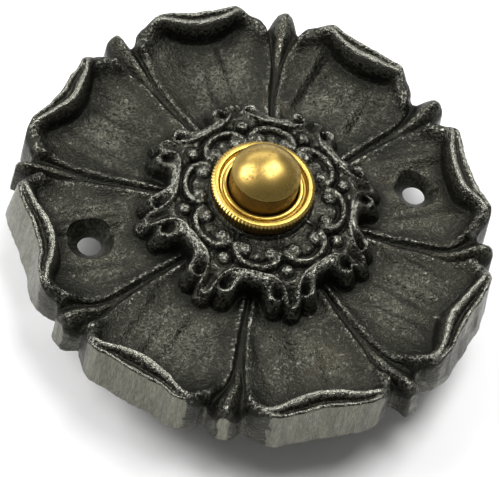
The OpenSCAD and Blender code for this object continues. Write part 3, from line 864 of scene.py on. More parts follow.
class RosetteForm:
    """Heights and edges of the rosette's face, in millimetres, from its settings."""

    def __init__(self, sizes):
        self.rosette_r = sizes.radius * TO_MM
        self.floor_z = sizes.floor_height * TO_MM
        self.lip_z = sizes.lip_height * TO_MM
        self.sepal_z = sizes.sepal_height * TO_MM
        self.seat_z = sizes.seat_height * TO_MM
        self.carve = sizes.carve
        self.corner_r = self.rosette_r + CORNER_REACH
        self.corner_angle = math.degrees(math.asin(CORNER_HALF_W / self.corner_r))
        self.notch_angle = mix(self.corner_angle, HALF, NOTCH_SHARE)
        self.tip_angle = mix(self.corner_angle, HALF, TIP_SHARE)
        self.flare_end = self.rosette_r + RIDGE_FLARE_OUT
        self.flare_start = self.flare_end - RIDGE_FLARE_L
        self.climb_end = self.rosette_r + RIDGE_CLIMB_OUT
        self.climb_start = self.climb_end - RIDGE_CLIMB_L
        self.sepal_start_r = self.rosette_r - SEPAL_L
        table_end = self.rosette_r + EDGE_TABLE_OUT
        self.near_r = np.arange(self.rosette_r - EDGE_TABLE_IN, table_end, EDGE_TABLE_STEP)
        self.near_a = np.linspace(0, HALF, EDGE_TABLE_ANGLES)
        self.near_edge = self.distance_table()

    def ridge_angle(self, r):
        grow = ease((r - self.flare_start) / (self.flare_end - self.flare_start))
        return mix(HALF - RIDGE_GAP_ANGLE, RIDGE_END_ANGLE, grow)

    def edge_r(self, a):
        """Radius of the top edge."""
        notch_r = self.rosette_r - NOTCH_DEPTH
        y = self.corner_r * sin_of(a) / CORNER_HALF_W
        end = self.rosette_r - PETAL_END_DROP + OUTLINE_BOW * y * y
        end = np.minimum(self.corner_r, end / cos_of(np.minimum(a, self.notch_angle)))
        fall = np.clip((self.notch_angle - a) / SHOULDER_ANGLE, 0, 1)
        shoulder = mix(notch_r, end, (dome(1 - fall) + ease(fall)) / 2)
        rise = (a - self.notch_angle) / (self.tip_angle - self.notch_angle)
        return np.where(a <= self.notch_angle, shoulder, mix(notch_r, self.rosette_r, ease(rise)))

    def distance_table(self):
        """Distances in from the top edge, for radii near_r and angles near_a."""
        past = EDGE_TABLE_PAST_ANGLE
        turn = np.linspace(-past, HALF + past, EDGE_TABLE_POINTS)
        edge = self.edge_r(HALF - np.abs(np.abs(turn) - HALF))
        edge_x, edge_y = edge * cos_of(turn), edge * sin_of(turn)
        table = []
        for a in self.near_a:
            x, y = self.near_r * cos_of(a), self.near_r * sin_of(a)
            away = np.hypot(x[:, None] - edge_x, y[:, None] - edge_y).min(1)
            table.append(np.where(self.near_r < self.edge_r(a), away, 0))
        return np.array(table)

    def from_edge(self, r, a):
        """Distance in from the top edge."""
        return look_up(self.near_edge, self.near_r, self.near_a, r, a)

    def edge_drop(self, r, a, lip_w):
        """How far the rounded top edge lies below the face. It is crisp only on the lip."""
        size = mix(LIP_EDGE_ROUND, SHOULDER_ROUND, self.shoulder(a, lip_w))
        short = np.clip(size - self.from_edge(r, a), 0, size)
        return size - np.sqrt(size**2 - short**2)

    def openness(self, a, lip_w):
        """How open the rolled lip is: 1 in the middle of a petal, 0 at the lip's ends."""
        return 1 - np.minimum(1, self.rosette_r * sin_of(a) / lip_w) ** 2

    def shoulder(self, a, lip_w):
        """0 along the rolled lip and 1 on the plain shoulders beside it."""
        return ease((self.rosette_r * sin_of(a) - lip_w) / LIP_END_W + 0.5)

    def band_w(self, a, lip_w):
        """Width of the rolled lip."""
        return LIP_BAND_LEAST + LIP_BAND * self.openness(a, lip_w)

    def lip_height(self, inside, a, base, lip_w):
        band = self.band_w(a, lip_w)
        out = -inside / band
        openness = self.openness(a, lip_w)
        cove = base - COVE_DEPTH * bump(inside - COVE_PLACE, COVE_W) * openness
        shoulder = self.shoulder(a, lip_w)
        crest = self.lip_z - SHOULDER_DROP * shoulder
        rise_w = mix(LIP_RISE_W, SHOULDER_RISE_W, shoulder)
        rise = mix(cove, crest, ease(1 - inside / rise_w))
        groove = LIP_GROOVE * openness * bump(out - LIP_GROOVE_PLACE_SHARE, LIP_GROOVE_W_SHARE)
        top = crest - groove - LIP_EDGE_DROP * openness * ease(out)
        return np.where(inside > 0, rise, top)

    def petal_height(self, r, a, lip_w):
        d = r * sin_of(a - self.ridge_angle(r))
        climb = ease((r - self.climb_start) / (self.climb_end - self.climb_start))
        crest = mix(self.floor_z + RIDGE_RISE, self.lip_z - SHOULDER_DROP, climb)
        width = mix(RIDGE_INNER_W, RIDGE_CORNER_W, climb)
        across = r * sin_of(a)
        corner = ease((r - self.rosette_r) / CORNER_IN + 1)
        corner = corner * ease((across - CORNER_SIDE) / CORNER_SIDE_W)
        base = self.floor_z + PETAL_DISH * (across / PETAL_HALF_W) ** 2 + CORNER_RISE * corner
        fall = ease((r - self.flare_start) / (self.rosette_r - self.flare_start))
        low = self.floor_z - GROOVE_DROP - GROOVE_FALL * fall
        outer_width = mix(RIDGE_OUTER_W, SHOULDER_OUTER_W, climb)
        inside = self.edge_r(a) - self.band_w(a, lip_w) - r
        ridge = base + (crest - base) * bump(d, width)
        petal = soft_max(ridge, self.lip_height(inside, a, base, lip_w), BLEND_H * climb)
        return np.where(d < 0, petal, low + (crest - low) * bump(d, outer_width))

    def sepal_height(self, r, a):
        side = r * sin_of(HALF - a)
        grow = ease((r - self.sepal_start_r) / (self.rosette_r - self.sepal_start_r))
        keel = mix(self.floor_z - GROOVE_DROP, self.sepal_z, grow)
        return keel - np.maximum(0, side - SEPAL_FLAT) * SEPAL_SLOPE

    def plate_height(self, r, a, lip_w):
        sepal = np.where(r > self.sepal_start_r, self.sepal_height(r, a), 0)
        return np.maximum(self.petal_height(r, a, lip_w), sepal)

    def collar_edge_r(self, a):
        centre = CENTRE_TIP_R + CENTRE_LOBE_H * (dome(a / CENTRE_LOBE_ANGLE) - 1)
        side = SIDE_TIP_R + SIDE_LOBE_H * (dome((a - SIDE_LOBE_ANGLE) / SIDE_LOBE_HALF_ANGLE) - 1)
        return np.where(a < CENTRE_LOBE_ANGLE, centre, side)

    def horseshoe(self, r, a, start, w):
        """Distance outside a horseshoe curve that opens outwards along the sepal."""
        x, y = r * cos_of(HALF - a), r * sin_of(HALF - a)
        q = (y / w) ** 3
        return (x - start - q * y / w) / np.sqrt(1 + (4 * q / w) ** 2)

    def scroll_height(self, r, a):
        """A C-shaped band with a moat round it and two eyes in its ends."""
        x, y = r * cos_of(HALF - a) - SCROLL_R, r * sin_of(HALF - a)
        d = (np.hypot(y / SCROLL_HALF_W, x / SCROLL_RADIAL) - 1) * SCROLL_RADIAL
        turn = np.degrees(np.arctan2(x / SCROLL_RADIAL, y / SCROLL_HALF_W))
        band = SCROLL_BAND_H * np.exp(-((d / SCROLL_BAND_W) ** 4))
        band = band * ease((turn + SCROLL_OPEN_ANGLE) / SCROLL_FADE_ANGLE)
        moat = MOAT_H * bump(d - MOAT_PLACE, MOAT_W)
        moat = moat * ease((turn + MOAT_OPEN_ANGLE) / SCROLL_FADE_ANGLE)
        inner = INNER_GROOVE_H * bump(d + INNER_GROOVE_PLACE, MOAT_W)
        inner = inner * ease(turn / SCROLL_FADE_ANGLE + 0.5)
        eye_x = r * cos_of(a - HALF + EYE_ANGLE) - SCROLL_R
        eye_y = r * sin_of(a - HALF + EYE_ANGLE)
        eye = EYE_H * dome(np.hypot(eye_x, eye_y) / EYE_SIZE)
        cusp = CUSP_H * bump(y, CUSP_W) * bump(x - CUSP_W, CUSP_L)
        return np.maximum(band, eye) - moat - inner * (eye <= 0) + cusp

    def collar_height(self, r, a):
        arch = self.horseshoe(r, a, ARCH_R, ARCH_HALF_W)
        fork = self.horseshoe(r, a, FORK_R, FORK_HALF_W)
        bead = np.hypot(r * cos_of(a) - BEAD_R, r * sin_of(a))
        ground = self.seat_z - SEAT_STEP
        ground = ground - INNER_FALL * ease((r - INNER_FALL_R) / INNER_FALL_W)
        ground = ground - OUTER_FALL * ease((r - OUTER_FALL_R) / OUTER_FALL_W)
        from_edge = self.collar_edge_r(a) - r
        closed = ease((from_edge - EDGE_RIM_PLACE) / COLLAR_EDGE_W)
        across = np.clip(arch / np.maximum(arch - fork, 0.05), 0, 1)
        grow = ease((r - CHANNEL_START_R) / CHANNEL_GROW_W)
        flat = FLAT_H * ease((arch + NOTCH_WALL_START) / NOTCH_WALL_W) * (1 - grow)
        side = SIDE_CHANNEL_H * sin_of(180 * across) ** 2 * grow * closed
        centre = CENTRE_CHANNEL_H * ease((-arch - NOTCH_WALL_START) / KNOB_SIZE) * grow * closed
        ribs = ARCH_H * bump(arch, RIB_W) + FORK_H * bump(fork + FORK_PLACE, FORK_W)
        ribs = ribs * ease(from_edge / COLLAR_EDGE_W)
        knob_x = r * cos_of(a - KNOB_ANGLE) - KNOB_R
        knob = KNOB_H * dome(np.hypot(knob_x, r * sin_of(a - KNOB_ANGLE)) / KNOB_SIZE)
        rim = EDGE_RIM_H * bump(from_edge - EDGE_RIM_PLACE, EDGE_RIM_W)
        rim = rim * ease((r - EDGE_RIM_START) / EDGE_RIM_L) * (fork < 0)
        inside = ease((-arch - 0.5 * RIB_W) / RIB_W)
        scroll = self.scroll_height(r, a) * inside * (1 - bump(bead, BEAD_CLEAR_W))
        line = LINE_H * bump(r * sin_of(a), LINE_W) * ease((LINE_END_R - r) / LINE_W)
        beads = BEAD_H * dome(bead / BEAD_SIZE)
        beads = beads - BEAD_MOAT_H * bump(bead - BEAD_MOAT_PLACE, LINE_W)
        carved = scroll + line + beads + ribs + knob + rim
        return ground + self.carve * (carved + flat - side - centre)

    def off_drawing(self, x, y, foot=0.0):
        """How far the hand-carved casting lies off the drawing at a point of the drawing."""
        r, turn = polar(x, y)
        petal = nearest_petal(turn)
        side = turn - petal * SECTOR
        a, share = np.abs(side), np.clip(side / PETAL_END_ANGLE, -1, 1)
        along = (turn - HALF) / SECTOR
        sepal = np.floor(along).astype(int)

        def from_sepals(table):
            after = ease(along - sepal)
            return mix(entry(table, sepal), entry(table, sepal + 1), after)

        def from_petal(tables):
            clockwise, middle, other = (entry(table, petal) for table in tables)
            return mix(middle, np.where(share < 0, clockwise, other), share**2)

        reach = mix(from_petal(LIP_REACH), from_petal(FOOT_REACH), foot)
        reach = reach * ease((HALF - a) / CORNER_FADE_ANGLE)
        tip = entry(TIP_REACH, np.where(side < 0, petal - 1, petal))
        to_tip = (a - self.notch_angle) / (self.tip_angle - self.notch_angle)
        reach = mix(reach, tip, ease(to_tip)) * ease((r - REACH_START_R) / OUTER_GROW_W)
        outer = ease((r - OUTER_START_R) / OUTER_GROW_W)
        spread = np.where(share < 0, *(entry(table, petal) for table in CORNER_SPREAD))
        spread = spread * ease((a - SPREAD_START_ANGLE) / SPREAD_GROW_ANGLE)
        spread = spread * ease((HALF - a) / SPREAD_FADE_ANGLE)
        slide = r * np.radians(mix(from_sepals(RIDGE_TURN), from_sepals(TIP_TURN), outer))
        slide = slide + spread * outer
        unit_x, unit_y = x / np.maximum(r, 1), y / np.maximum(r, 1)
        collar_x = COLLAR_SHIFT[0] + COLLAR_STRETCH[0] * x
        collar_y = COLLAR_SHIFT[1] + COLLAR_STRETCH[1] * x
        outside = ease((r - COLLAR_HOLD_R) / COLLAR_HOLD_W)
        return (
            mix(collar_x, reach * unit_x - slide * unit_y, outside),
            mix(collar_y, reach * unit_y + slide * unit_x, outside),
        )

    def on_drawing(self, x, y):
        """Radius, angle and lip of the drawing's point that lies at a point of the face."""
        drawn_x, drawn_y = x, y
        for _ in range(5):
            off_x, off_y = self.off_drawing(drawn_x, drawn_y)
            drawn_x, drawn_y = x - off_x, y - off_y
        r, turn = polar(drawn_x, drawn_y)
        return r, np.abs(from_middle(turn)), entry(LIP_HALF_W, nearest_petal(turn))

    def face_height(self, r, a, lip_w):
        """Height of the casting's face outside its seat."""
        fork = self.horseshoe(r, a, FORK_R, FORK_HALF_W)
        notch = ease((fork - NOTCH_WALL_START) / NOTCH_WALL_W)
        roll = np.clip((r - self.collar_edge_r(a) - ROLL_OUT) / ROLL_W + 1, 0, 1)
        outside = 1 - np.sqrt(1 - roll**2)
        drop = 1 - (1 - notch) * (1 - outside)
        plate = self.plate_height(r, a, lip_w) - self.edge_drop(r, a, lip_w)
        return mix(self.collar_height(r, a), plate, np.where(r > COLLAR_END_R, 1, drop))

    def half_angles(self, r, shares):
        """Column angles over half a petal: even on the collar, along the ridges outside it."""
        ridge = self.ridge_angle(r)
        petal = ridge * shares / RIDGE_COLUMN_SHARE
        sepal = mix(ridge, HALF, (shares - RIDGE_COLUMN_SHARE) / (1 - RIDGE_COLUMN_SHARE))
        along_ridges = np.where(shares < RIDGE_COLUMN_SHARE, petal, sepal)
        return mix(shares * HALF, along_ridges, ease((r - COLLAR_END_R) / COLUMN_TURN_W))


def nearest_petal(turn):
    """Number of the nearest petal. It may be below 0, which entry allows."""
    return np.round(turn / SECTOR).astype(int)


def entry(table, number):
    """A table's entry for a petal or a sepal, counted round and round."""
    return np.array(table)[number % PETALS]


def from_middle(turn):
    """Angle from the nearest petal's middle."""
    return (turn + HALF) % SECTOR - HALF


def casting_mesh(form, half_columns):
    """The casting as rings of points: over the face from the bore and back underneath.

    Returns the points, the radii and angles of the drawing that they stand for, and the faces.
    """
    steps = np.arange(-half_columns, half_columns)
    side = np.tile(np.sign(steps), PETALS)
    sector = np.repeat(np.arange(PETALS) * SECTOR, len(steps))
    lip_w = np.repeat(LIP_HALF_W, len(steps))
    rings = []

    def angles(r):
        """Angles of the columns near the radius r, each from its petal's middle."""
        return np.tile(form.half_angles(r, np.abs(steps) / half_columns), PETALS)

    def add_ring(a, r, carved, z=None, foot=0.0):
        """Adds a ring whose points are moved by the hand carving as far as carved says.

        Without z it lies on the face. foot is 0 at the top edge and 1 at the wall's foot.
        """
        r = r + 0 * a
        turn = sector + side * a
        x, y = r * cos_of(turn), r * sin_of(turn)
        off_x, off_y = form.off_drawing(x, y, foot)
        x, y = x + carved * off_x, y + carved * off_y
        if z is None:
            r, a, w = form.on_drawing(x, y)
            seat = ease((np.hypot(x, y) - SEAT_R) / SEAT_SLOPE_W + 0.5)
            z = mix(form.seat_z, form.face_height(r, a, w), seat)
        rings.append(np.stack([x, y, z + 0 * a, r, a], 1))

    def carved_at(r):
        return ease((r - CARVED_START_R) / CARVED_GROW_W)

    slope = SEAT_R + SEAT_SLOPE_W * np.linspace(-0.5, 0.5, SEAT_ROWS)
    for r in [BORE_R, mix(BORE_R, SEAT_R, 0.5), *slope]:
        add_ring(angles(r), r, 0)
    for r in np.linspace(SEAT_R + SEAT_SLOPE_W, COLLAR_END_R, COLLAR_ROWS):
        add_ring(angles(r), r, carved_at(r))
    for t in np.linspace(0, 1, FLOOR_ROWS + 1)[1:]:
        near_r = mix(COLLAR_END_R, form.rosette_r - COVE_PLACE - LIP_BAND, t)
        a = angles(near_r)
        cove = form.edge_r(a) - form.band_w(a, lip_w) - COVE_PLACE
        add_ring(a, mix(COLLAR_END_R, cove, t), carved_at(near_r))
    for t in np.linspace(1, 0, COVE_ROWS + 1)[1:]:
        a = angles(form.rosette_r - LIP_BAND - t * COVE_PLACE)
        add_ring(a, form.edge_r(a) - form.band_w(a, lip_w) - t * COVE_PLACE, 1)
    a = angles(form.corner_r)
    edge, band = form.edge_r(a), form.band_w(a, lip_w)
    for t in np.linspace(1, 0, LIP_ROWS + 1)[1:]:
        add_ring(a, edge - band * t, 1)
    draft = mix(WALL_DRAFT, WALL_DRAFT_MIDDLE, form.openness(a, lip_w))
    top_z = form.face_height(edge, a, lip_w)
    for t in WALL_SHARES:
        add_ring(a, edge + draft * t, 1, z=top_z * (1 - t), foot=t)
    add_ring(a, edge + draft - WALL_FOOT_IN, 1, z=0, foot=1)
    rim_r = form.rosette_r - RIM_W
    add_ring(a, mix(edge, rim_r, 0.5), 0.5, z=0, foot=1)
    plate_z = form.seat_z - PLATE_T
    back = [
        (rim_r, 0, 0.0), (rim_r, HOLLOW_RIM_Z, 0.5), (rim_r - HOLLOW_RIM_Z, SHELL_Z, 0.6),
        (WELL_R + WELL_SLOPE_W + WELL_FOOT_W, SHELL_Z, 0.5),
        (WELL_R + WELL_SLOPE_W, SHELL_Z + HOLLOW_STEP_Z, 0.4),
        (WELL_R, plate_z - WELL_STEP_Z, 0.4), (WELL_R - WELL_STEP_Z, plate_z, 0.0),
        (BORE_R, plate_z, 0.0),
    ]
    for r, z in round_corners(back, steps=3):
        add_ring(angles(0), r, 0, z=z)

    count, columns = len(rings), len(rings[0])
    table = np.concatenate(rings)
    i = np.arange(count)[:, None] * columns
    after = (np.arange(count)[:, None] + 1) % count * columns
    j = np.arange(columns)[None, :]
    k = (j + 1) % columns
    faces = np.stack(np.broadcast_arrays(i + j, after + j, after + k, i + k), -1).reshape(-1, 4)
    return table[:, :3], table[:, 3], table[:, 4], faces.tolist()


def cut_screw_holes(piece, form, sizes, bored):
    """Cuts the two countersunk screw holes with one turned cutter each."""
    hole_r = sizes.screw_diameter * TO_MM / 2
    sink_r = sizes.sink_diameter * TO_MM / 2
    top, bottom = form.floor_z + 4, -2
    sink_z = form.floor_z - (sink_r - hole_r)
    profile = [
        (0, bottom), (hole_r, bottom), (hole_r, sink_z), (sink_r, form.floor_z), (sink_r, top),
        (0, top),
    ]
    for side in (-1, 1):
        cutter = lathe("cutter", profile, 64)
        cutter.location.x = side * sizes.screw_pitch / 2
        cutter.data.materials.append(bored)
        cut = piece.modifiers.new("hole", "BOOLEAN")
        cut.operation = "DIFFERENCE"
        cut.solver = "EXACT"
        cut.material_mode = "TRANSFER"
        cut.object = cutter
        bpy.context.view_layer.update()
        shaped = piece.evaluated_get(bpy.context.evaluated_depsgraph_get())
        mesh = bpy.data.meshes.new_from_object(shaped)
        piece.modifiers.clear()
        old = piece.data
        piece.data = mesh
        bpy.data.meshes.remove(old)
        bpy.data.objects.remove(cutter)


def relief_maps(form):
    """Crests and recesses of the face on a square grid, from the height against its blur."""
    line = np.arange(-RELIEF_REACH, RELIEF_REACH, RELIEF_STEP)
    r, turn = polar(*np.meshgrid(line, line))
    a = np.abs(from_middle(turn))
    inside = ((r < form.edge_r(a)) & (r > SEAT_R - 1)).astype(float)
    lip_w = entry(LIP_HALF_W, nearest_petal(turn))
    height = form.face_height(np.maximum(r, 1), a, lip_w) * inside
    pitch = np.fft.fftfreq(len(line), RELIEF_STEP)
    pitch_x, pitch_y = np.meshgrid(pitch, pitch)

    def blur(values, radius):
        soft = np.exp(-2 * (np.pi * radius) ** 2 * (pitch_x**2 + pitch_y**2))
        return np.fft.ifft2(np.fft.fft2(values) * soft).real

    def above(radius):
        share = np.maximum(blur(inside, radius), RELIEF_LEAST_SHARE)
        return (height - blur(height, radius) / share) * inside

    crest = sum(np.clip(above(w) / full, 0, 1) * share for w, full, share in CREST_LAYERS)
    patina_and_shade = sum(np.clip(-above(w) / full, 0, 1) * share for w, full, share in PATINA_AND_SHADE_LAYERS)
    return line, crest, patina_and_shade


def add_wear(mesh, form, points, r, a):
    """Stores where the finish is rubbed or ground, and where patina and painted shade darken the hollows, for the
    iron finish to read.
    """
    x, y, z = points.T
    line, crest, patina_and_shade = relief_maps(form)
    over = r - form.edge_r(a)
    face = ease((z - SHELL_Z) / FACE_FADE_H)
    ragged = wander(x, y, wavelength=3.5, seed=21) + 0.6 * wander(x, z, wavelength=1.6, seed=22)
    from_end = GROUND_PETAL_ANGLE - a + GROUND_PETAL_RAGGED * ragged
    from_notch = a - GROUND_SEPAL_ANGLE + GROUND_SEPAL_RAGGED * ragged
    ground = np.maximum(ease(from_end / GROUND_PETAL_FADE), ease(from_notch / GROUND_SEPAL_FADE))
    ground = ease((over + GROUND_EDGE_W / 2) / GROUND_EDGE_W) * ground
    bare_foot = ease((BARE_FOOT_H - z) / BARE_FOOT_H) * ease((over + RIM_W) / BARE_FOOT_FADE_W)
    turn = polar(x, y)[1]
    petal = nearest_petal(turn)
    shoulder = form.shoulder(a, entry(LIP_HALF_W, petal))
    sheltered = RIDGE_SHELTER * ease((r - FLOOR_START_R) / RIDGE_SHELTER_GROW_W)
    exposed = 1 - sheltered * ease((RIDGE_SHELTER_END_R - r) / RIDGE_SHELTER_FADE_W)
    sheltered = SHOULDER_SHELTER * shoulder
    exposed = exposed * (1 - sheltered * ease((r - OUTER_START_R) / SHOULDER_SHELTER_GROW_W))
    rolls = bump(over + form.band_w(a, entry(LIP_HALF_W, petal)), LIP_CREST_WEAR_W)
    rolls = rolls + bump(over + LIP_EDGE_ROUND, LIP_EDGE_WEAR_W)
    rolls = LIP_WEAR * rolls * (1 - shoulder)
    # Painted shade: the floor beside each ridge is darkened, where shade falls at the ridge's foot.
    beside = np.maximum(0, r * sin_of(form.ridge_angle(r) - a) - RIDGE_INNER_W)
    gutter_shade = GUTTER_SHADE * bump(beside, GUTTER_W) * ease((r - COLLAR_END_R) / GUTTER_GROW_W)
    drawn = petal * SECTOR + np.where(from_middle(turn) < 0, -a, a)
    drawn_x, drawn_y = r * cos_of(drawn), r * sin_of(drawn)
    rubbed = look_up(crest, line, line, drawn_x, drawn_y) * exposed + rolls
    sunk_patina_and_shade = look_up(patina_and_shade, line, line, drawn_x, drawn_y) + gutter_shade * (a < form.ridge_angle(r))
    write_attribute(mesh, "crest", rubbed * face * (1 - ground))
    # Patina and painted shade in the hollows.
    write_attribute(mesh, "patina_and_shade", sunk_patina_and_shade * face)
    write_attribute(mesh, "ground", np.maximum(ground * entry(GROUND_SHARE, petal), bare_foot))


def write_attribute(mesh, name, values):
    layer = mesh.attributes.new(name, "FLOAT", "POINT")
    layer.data.foreach_set("value", np.asarray(values, np.float32))


def roughen(form, points, amount):
    """The points moved a little, as sand casting and hand grinding leave them."""
    x, y, z = points.T
    r, turn = polar(x, y)
    on_face = ease((z - SHELL_Z) / FACE_FADE_H) * ease((r - SEAT_R - SEAT_CLEAR_W) / SEAT_FADE_W)
    on_floor = on_face * ease((r - FLOOR_START_R) / FLOOR_FADE_W)
    on_floor = on_floor * ease((form.rosette_r - FLOOR_END_IN - r) / FLOOR_FADE_W)
    across = r * sin_of(from_middle(turn))
    between_ridges = ease((FOLD_HALF_W - np.abs(across)) / FOLD_FADE_W)
    folds = np.zeros_like(z)
    for petal in range(PETALS):
        wave = wander(across, r * FOLD_STRETCH, FOLD_WAVE, FOLD_SEED + petal)
        folds = folds + (nearest_petal(turn) % PETALS == petal) * (wave * between_ridges)
    lift = layered(x, y, FACE_LAYERS) + FOLD_SHARE * folds * on_floor
    wobble = layered(x, y, OUTLINE_LAYERS) * ease((r - OUTER_START_R) / OUTER_GROW_W)
    out = 1 + wobble / np.maximum(r, 1)
    return np.stack([x * out, y * out, z + amount * TO_MM * lift * on_face], 1)


# ---- Operators ----


class DOORBELL_OT_rosette(bpy.types.Operator):
    """Builds the cast rosette with its carved collar, hollow back and screw holes"""

    bl_idname = "doorbell.rosette"
    bl_label = "Cast Rosette"

    def execute(self, context):
        sizes, look = context.scene.doorbell_rosette, context.scene.doorbell_iron
        form = RosetteForm(sizes)
        points, r, a, faces = casting_mesh(form, sizes.columns // 2)
        piece = new_piece("cast_rosette", roughen(form, points, sizes.unevenness), faces)
        add_wear(piece.data, form, points, r, a)
        piece.data.materials.append(iron_finish(look))
        cut_screw_holes(piece, form, sizes, bored_iron_finish(look))
        piece.data.shade_smooth()
        mark_hole_edges(piece.data)
        place_piece(piece, "base", "rosette")
        return {"FINISHED"}


def mark_hole_edges(mesh):
    """Keeps the drilled holes' edges crisp on a smooth casting."""
    finishes = {}
    for polygon in mesh.polygons:
        for key in polygon.edge_keys:
            finishes.setdefault(key, set()).add(polygon.material_index)
    rims = [edge for edge in mesh.edges if len(finishes[edge.key]) > 1]
    if not rims:
        raise RuntimeError("the screw holes could not be cut")
    for edge in rims:
        edge.use_edge_sharp = True


class DOORBELL_OT_ring_nut(bpy.types.Operator):
    """Turns the knurled brass ring nut"""

    bl_idname = "doorbell.ring_nut"
    bl_label = "Knurled Ring Nut"

    def execute(self, context):
        brass = context.scene.doorbell_brass
        low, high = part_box("ring_nut")
        ring_r, seat_z, top_z = high.x * TO_MM, low.z * TO_MM, high.z * TO_MM
        bore_r, step_r, base_r, top_r = 7.15, 7.5, ring_r - 0.6, ring_r - 0.64
        knurl_low, knurl_high, knurl_depth = seat_z + 1.2, top_z - 0.3, 0.22
        step_z, chamfer = top_z - 0.8, 0.62
        profile = round_corners([
            (bore_r, seat_z, 0.05), (base_r, seat_z, 0.08), (base_r, knurl_low - 0.12, 0.08),
            (ring_r, knurl_low + 0.02, 0.06), (ring_r, knurl_high, 0.08),
            (top_r, top_z, 0.1), (top_r - chamfer, top_z, 0.16), (step_r, top_z - chamfer, 0.12),
            (step_r, step_z, 0.06), (bore_r, step_z, 0.06),
        ], steps=4)

        def knurled(r, z, turn):
            """The radius with the knurl's grooves, which end short of its lower edge."""
            from_groove = np.abs((turn * brass.knurls / 360) % 1 - 0.5) * 2
            near = ease((r - ring_r + 0.35) / 0.25) * ease((z - knurl_low + 0.15) / 0.15)
            return r - knurl_depth * near * (1 - from_groove) ** 1.2

        piece = lathe("turned_ring_nut", profile, brass.knurls * 6, knurled)
        # Painted shade on the lower part of the ring nut; its knurl is darker as well.
        finish = turned_brass_finish(
            "bright_brass", brass.bright, brass.tarnish, rough=0.27, spots=0.6,
            shade_below_z=(top_z - 0.7) * MM, dark_outside_r=(ring_r - 0.5) * MM,
        )
        finish_turned(piece, finish, sharp_angle=42)
        place_piece(piece, "base", "ring_nut")
        return {"FINISHED"}


class DOORBELL_OT_barrel(bpy.types.Operator):
    """Turns the barrel with its rounded front lip and its flange"""

    bl_idname = "doorbell.barrel"
    bl_label = "Barrel"

    def execute(self, context):
        brass = context.scene.doorbell_brass
        low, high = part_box("barrel")
        flange_r, web_z, top_z = high.x * TO_MM, low.z * TO_MM, high.z * TO_MM
        tube_r, bore_r, stem_hole_r, web_top = 7.1, 6.3, 1.5, web_z + 1.5
        profile = round_corners([
            (stem_hole_r, web_z, 0.1), (flange_r, web_z, 0.15), (flange_r, web_top, 0.15),
            (tube_r, web_top, 0.1), (tube_r, top_z, 0.32), (bore_r, top_z, 0.32),
            (bore_r, web_top, 0.1), (stem_hole_r, web_top, 0.1),
        ], steps=6)
        piece = lathe("turned_barrel", profile, columns=160)
        # Painted shade below the barrel's front lip.
        finish = turned_brass_finish(
            "barrel_brass", brass.bright, brass.tarnish, rough=0.3, spots=0.8,
            shade_below_z=(top_z - 0.3) * MM,
        )
        finish_turned(piece, finish, sharp_angle=42)
        place_piece(piece, "base", "barrel")
        return {"FINISHED"}


class DOORBELL_OT_button(bpy.types.Operator):
    """Turns the domed push button with its stem"""

    bl_idname = "doorbell.button"
    bl_label = "Push Button"

    def execute(self, context):
        brass = context.scene.doorbell_brass
        low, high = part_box("button")
        button_r, stem_end, top_z = high.x * TO_MM, low.z * TO_MM, high.z * TO_MM
        dome_h, skirt_h = 3.0, 8.0
        edge_z = top_z - dome_h
        base_z = edge_z - skirt_h
        dome_r = (button_r**2 + dome_h**2) / (2 * dome_h)
        pocket_z, pocket_r, hub_r, stem_r, groove_r = base_z + 2.5, 4.7, 2.6, 1.4, 1.1
        clip_low, clip_top = (corner.z * TO_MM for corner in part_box("retaining_clip"))
        clip_top += 0.05
        side = round_corners([
            (0.01, stem_end, 0), (stem_r, stem_end, 0.12), (stem_r, clip_low, 0),
            (groove_r, clip_low, 0), (groove_r, clip_top, 0), (stem_r, clip_top, 0),
            (stem_r, base_z - 0.5, 0),
            (stem_r, base_z, 0.1), (hub_r, base_z, 0.1), (hub_r, pocket_z, 0.1),
            (pocket_r, pocket_z, 0.1), (pocket_r, base_z, 0.1), (button_r, base_z, 0.15),
            (button_r, edge_z - 0.1, 0), (button_r, edge_z, 0),
        ], steps=4)
        half_turn = math.asin(button_r / dome_r)
        turns = np.linspace(half_turn, 0, 40)[1:-1]
        cap = [(dome_r * math.sin(t), top_z - dome_r + dome_r * math.cos(t)) for t in turns]
        soft = [(button_r - 0.03, edge_z + 0.05)]
        profile = [(0, stem_end), *side[1:-1].tolist(), *soft, *cap, (0, top_z)]
        piece = lathe("turned_button", profile, columns=160)
        # Painted shade on the button's skirt below its edge.
        finish = turned_brass_finish(
            "button_brass", brass.satin, brass.tarnish, rough=0.32, spots=0.9,
            shade_below_z=(edge_z + 0.3) * MM,
        )
        finish_turned(piece, finish, sharp_angle=38)
        place_piece(piece, "push", "button")
        return {"FINISHED"}


class DOORBELL_OT_contacts(bpy.types.Operator):
    """Gives the mechanism behind the plate its finishes"""

    bl_idname = "doorbell.contacts"
    bl_label = "Contact Mechanism"

    def execute(self, context):
        brass = context.scene.doorbell_brass
        steel, steel_shade = (0.55, 0.56, 0.58), (0.30, 0.30, 0.31)
        silver, silver_shade = (0.80, 0.79, 0.76), (0.45, 0.43, 0.38)
        finishes = {
            "screw_brass": drawn_metal_finish("screw_brass", brass.satin, brass.tarnish, 0.36),
            "steel": drawn_metal_finish("spring_steel", steel, steel_shade, 0.30),
            "silver": drawn_metal_finish("contact_silver", silver, silver_shade, 0.28),
            "moulding": moulding_finish(),
            "fibre": fibre_finish(),
        }
        for part in frame["record"]["subparts"]:
            if part["material_slot"] in finishes:
                for slot in frame["nodes"][part["node"]].material_slots:
                    slot.material = finishes[part["material_slot"]]
        return {"FINISHED"}


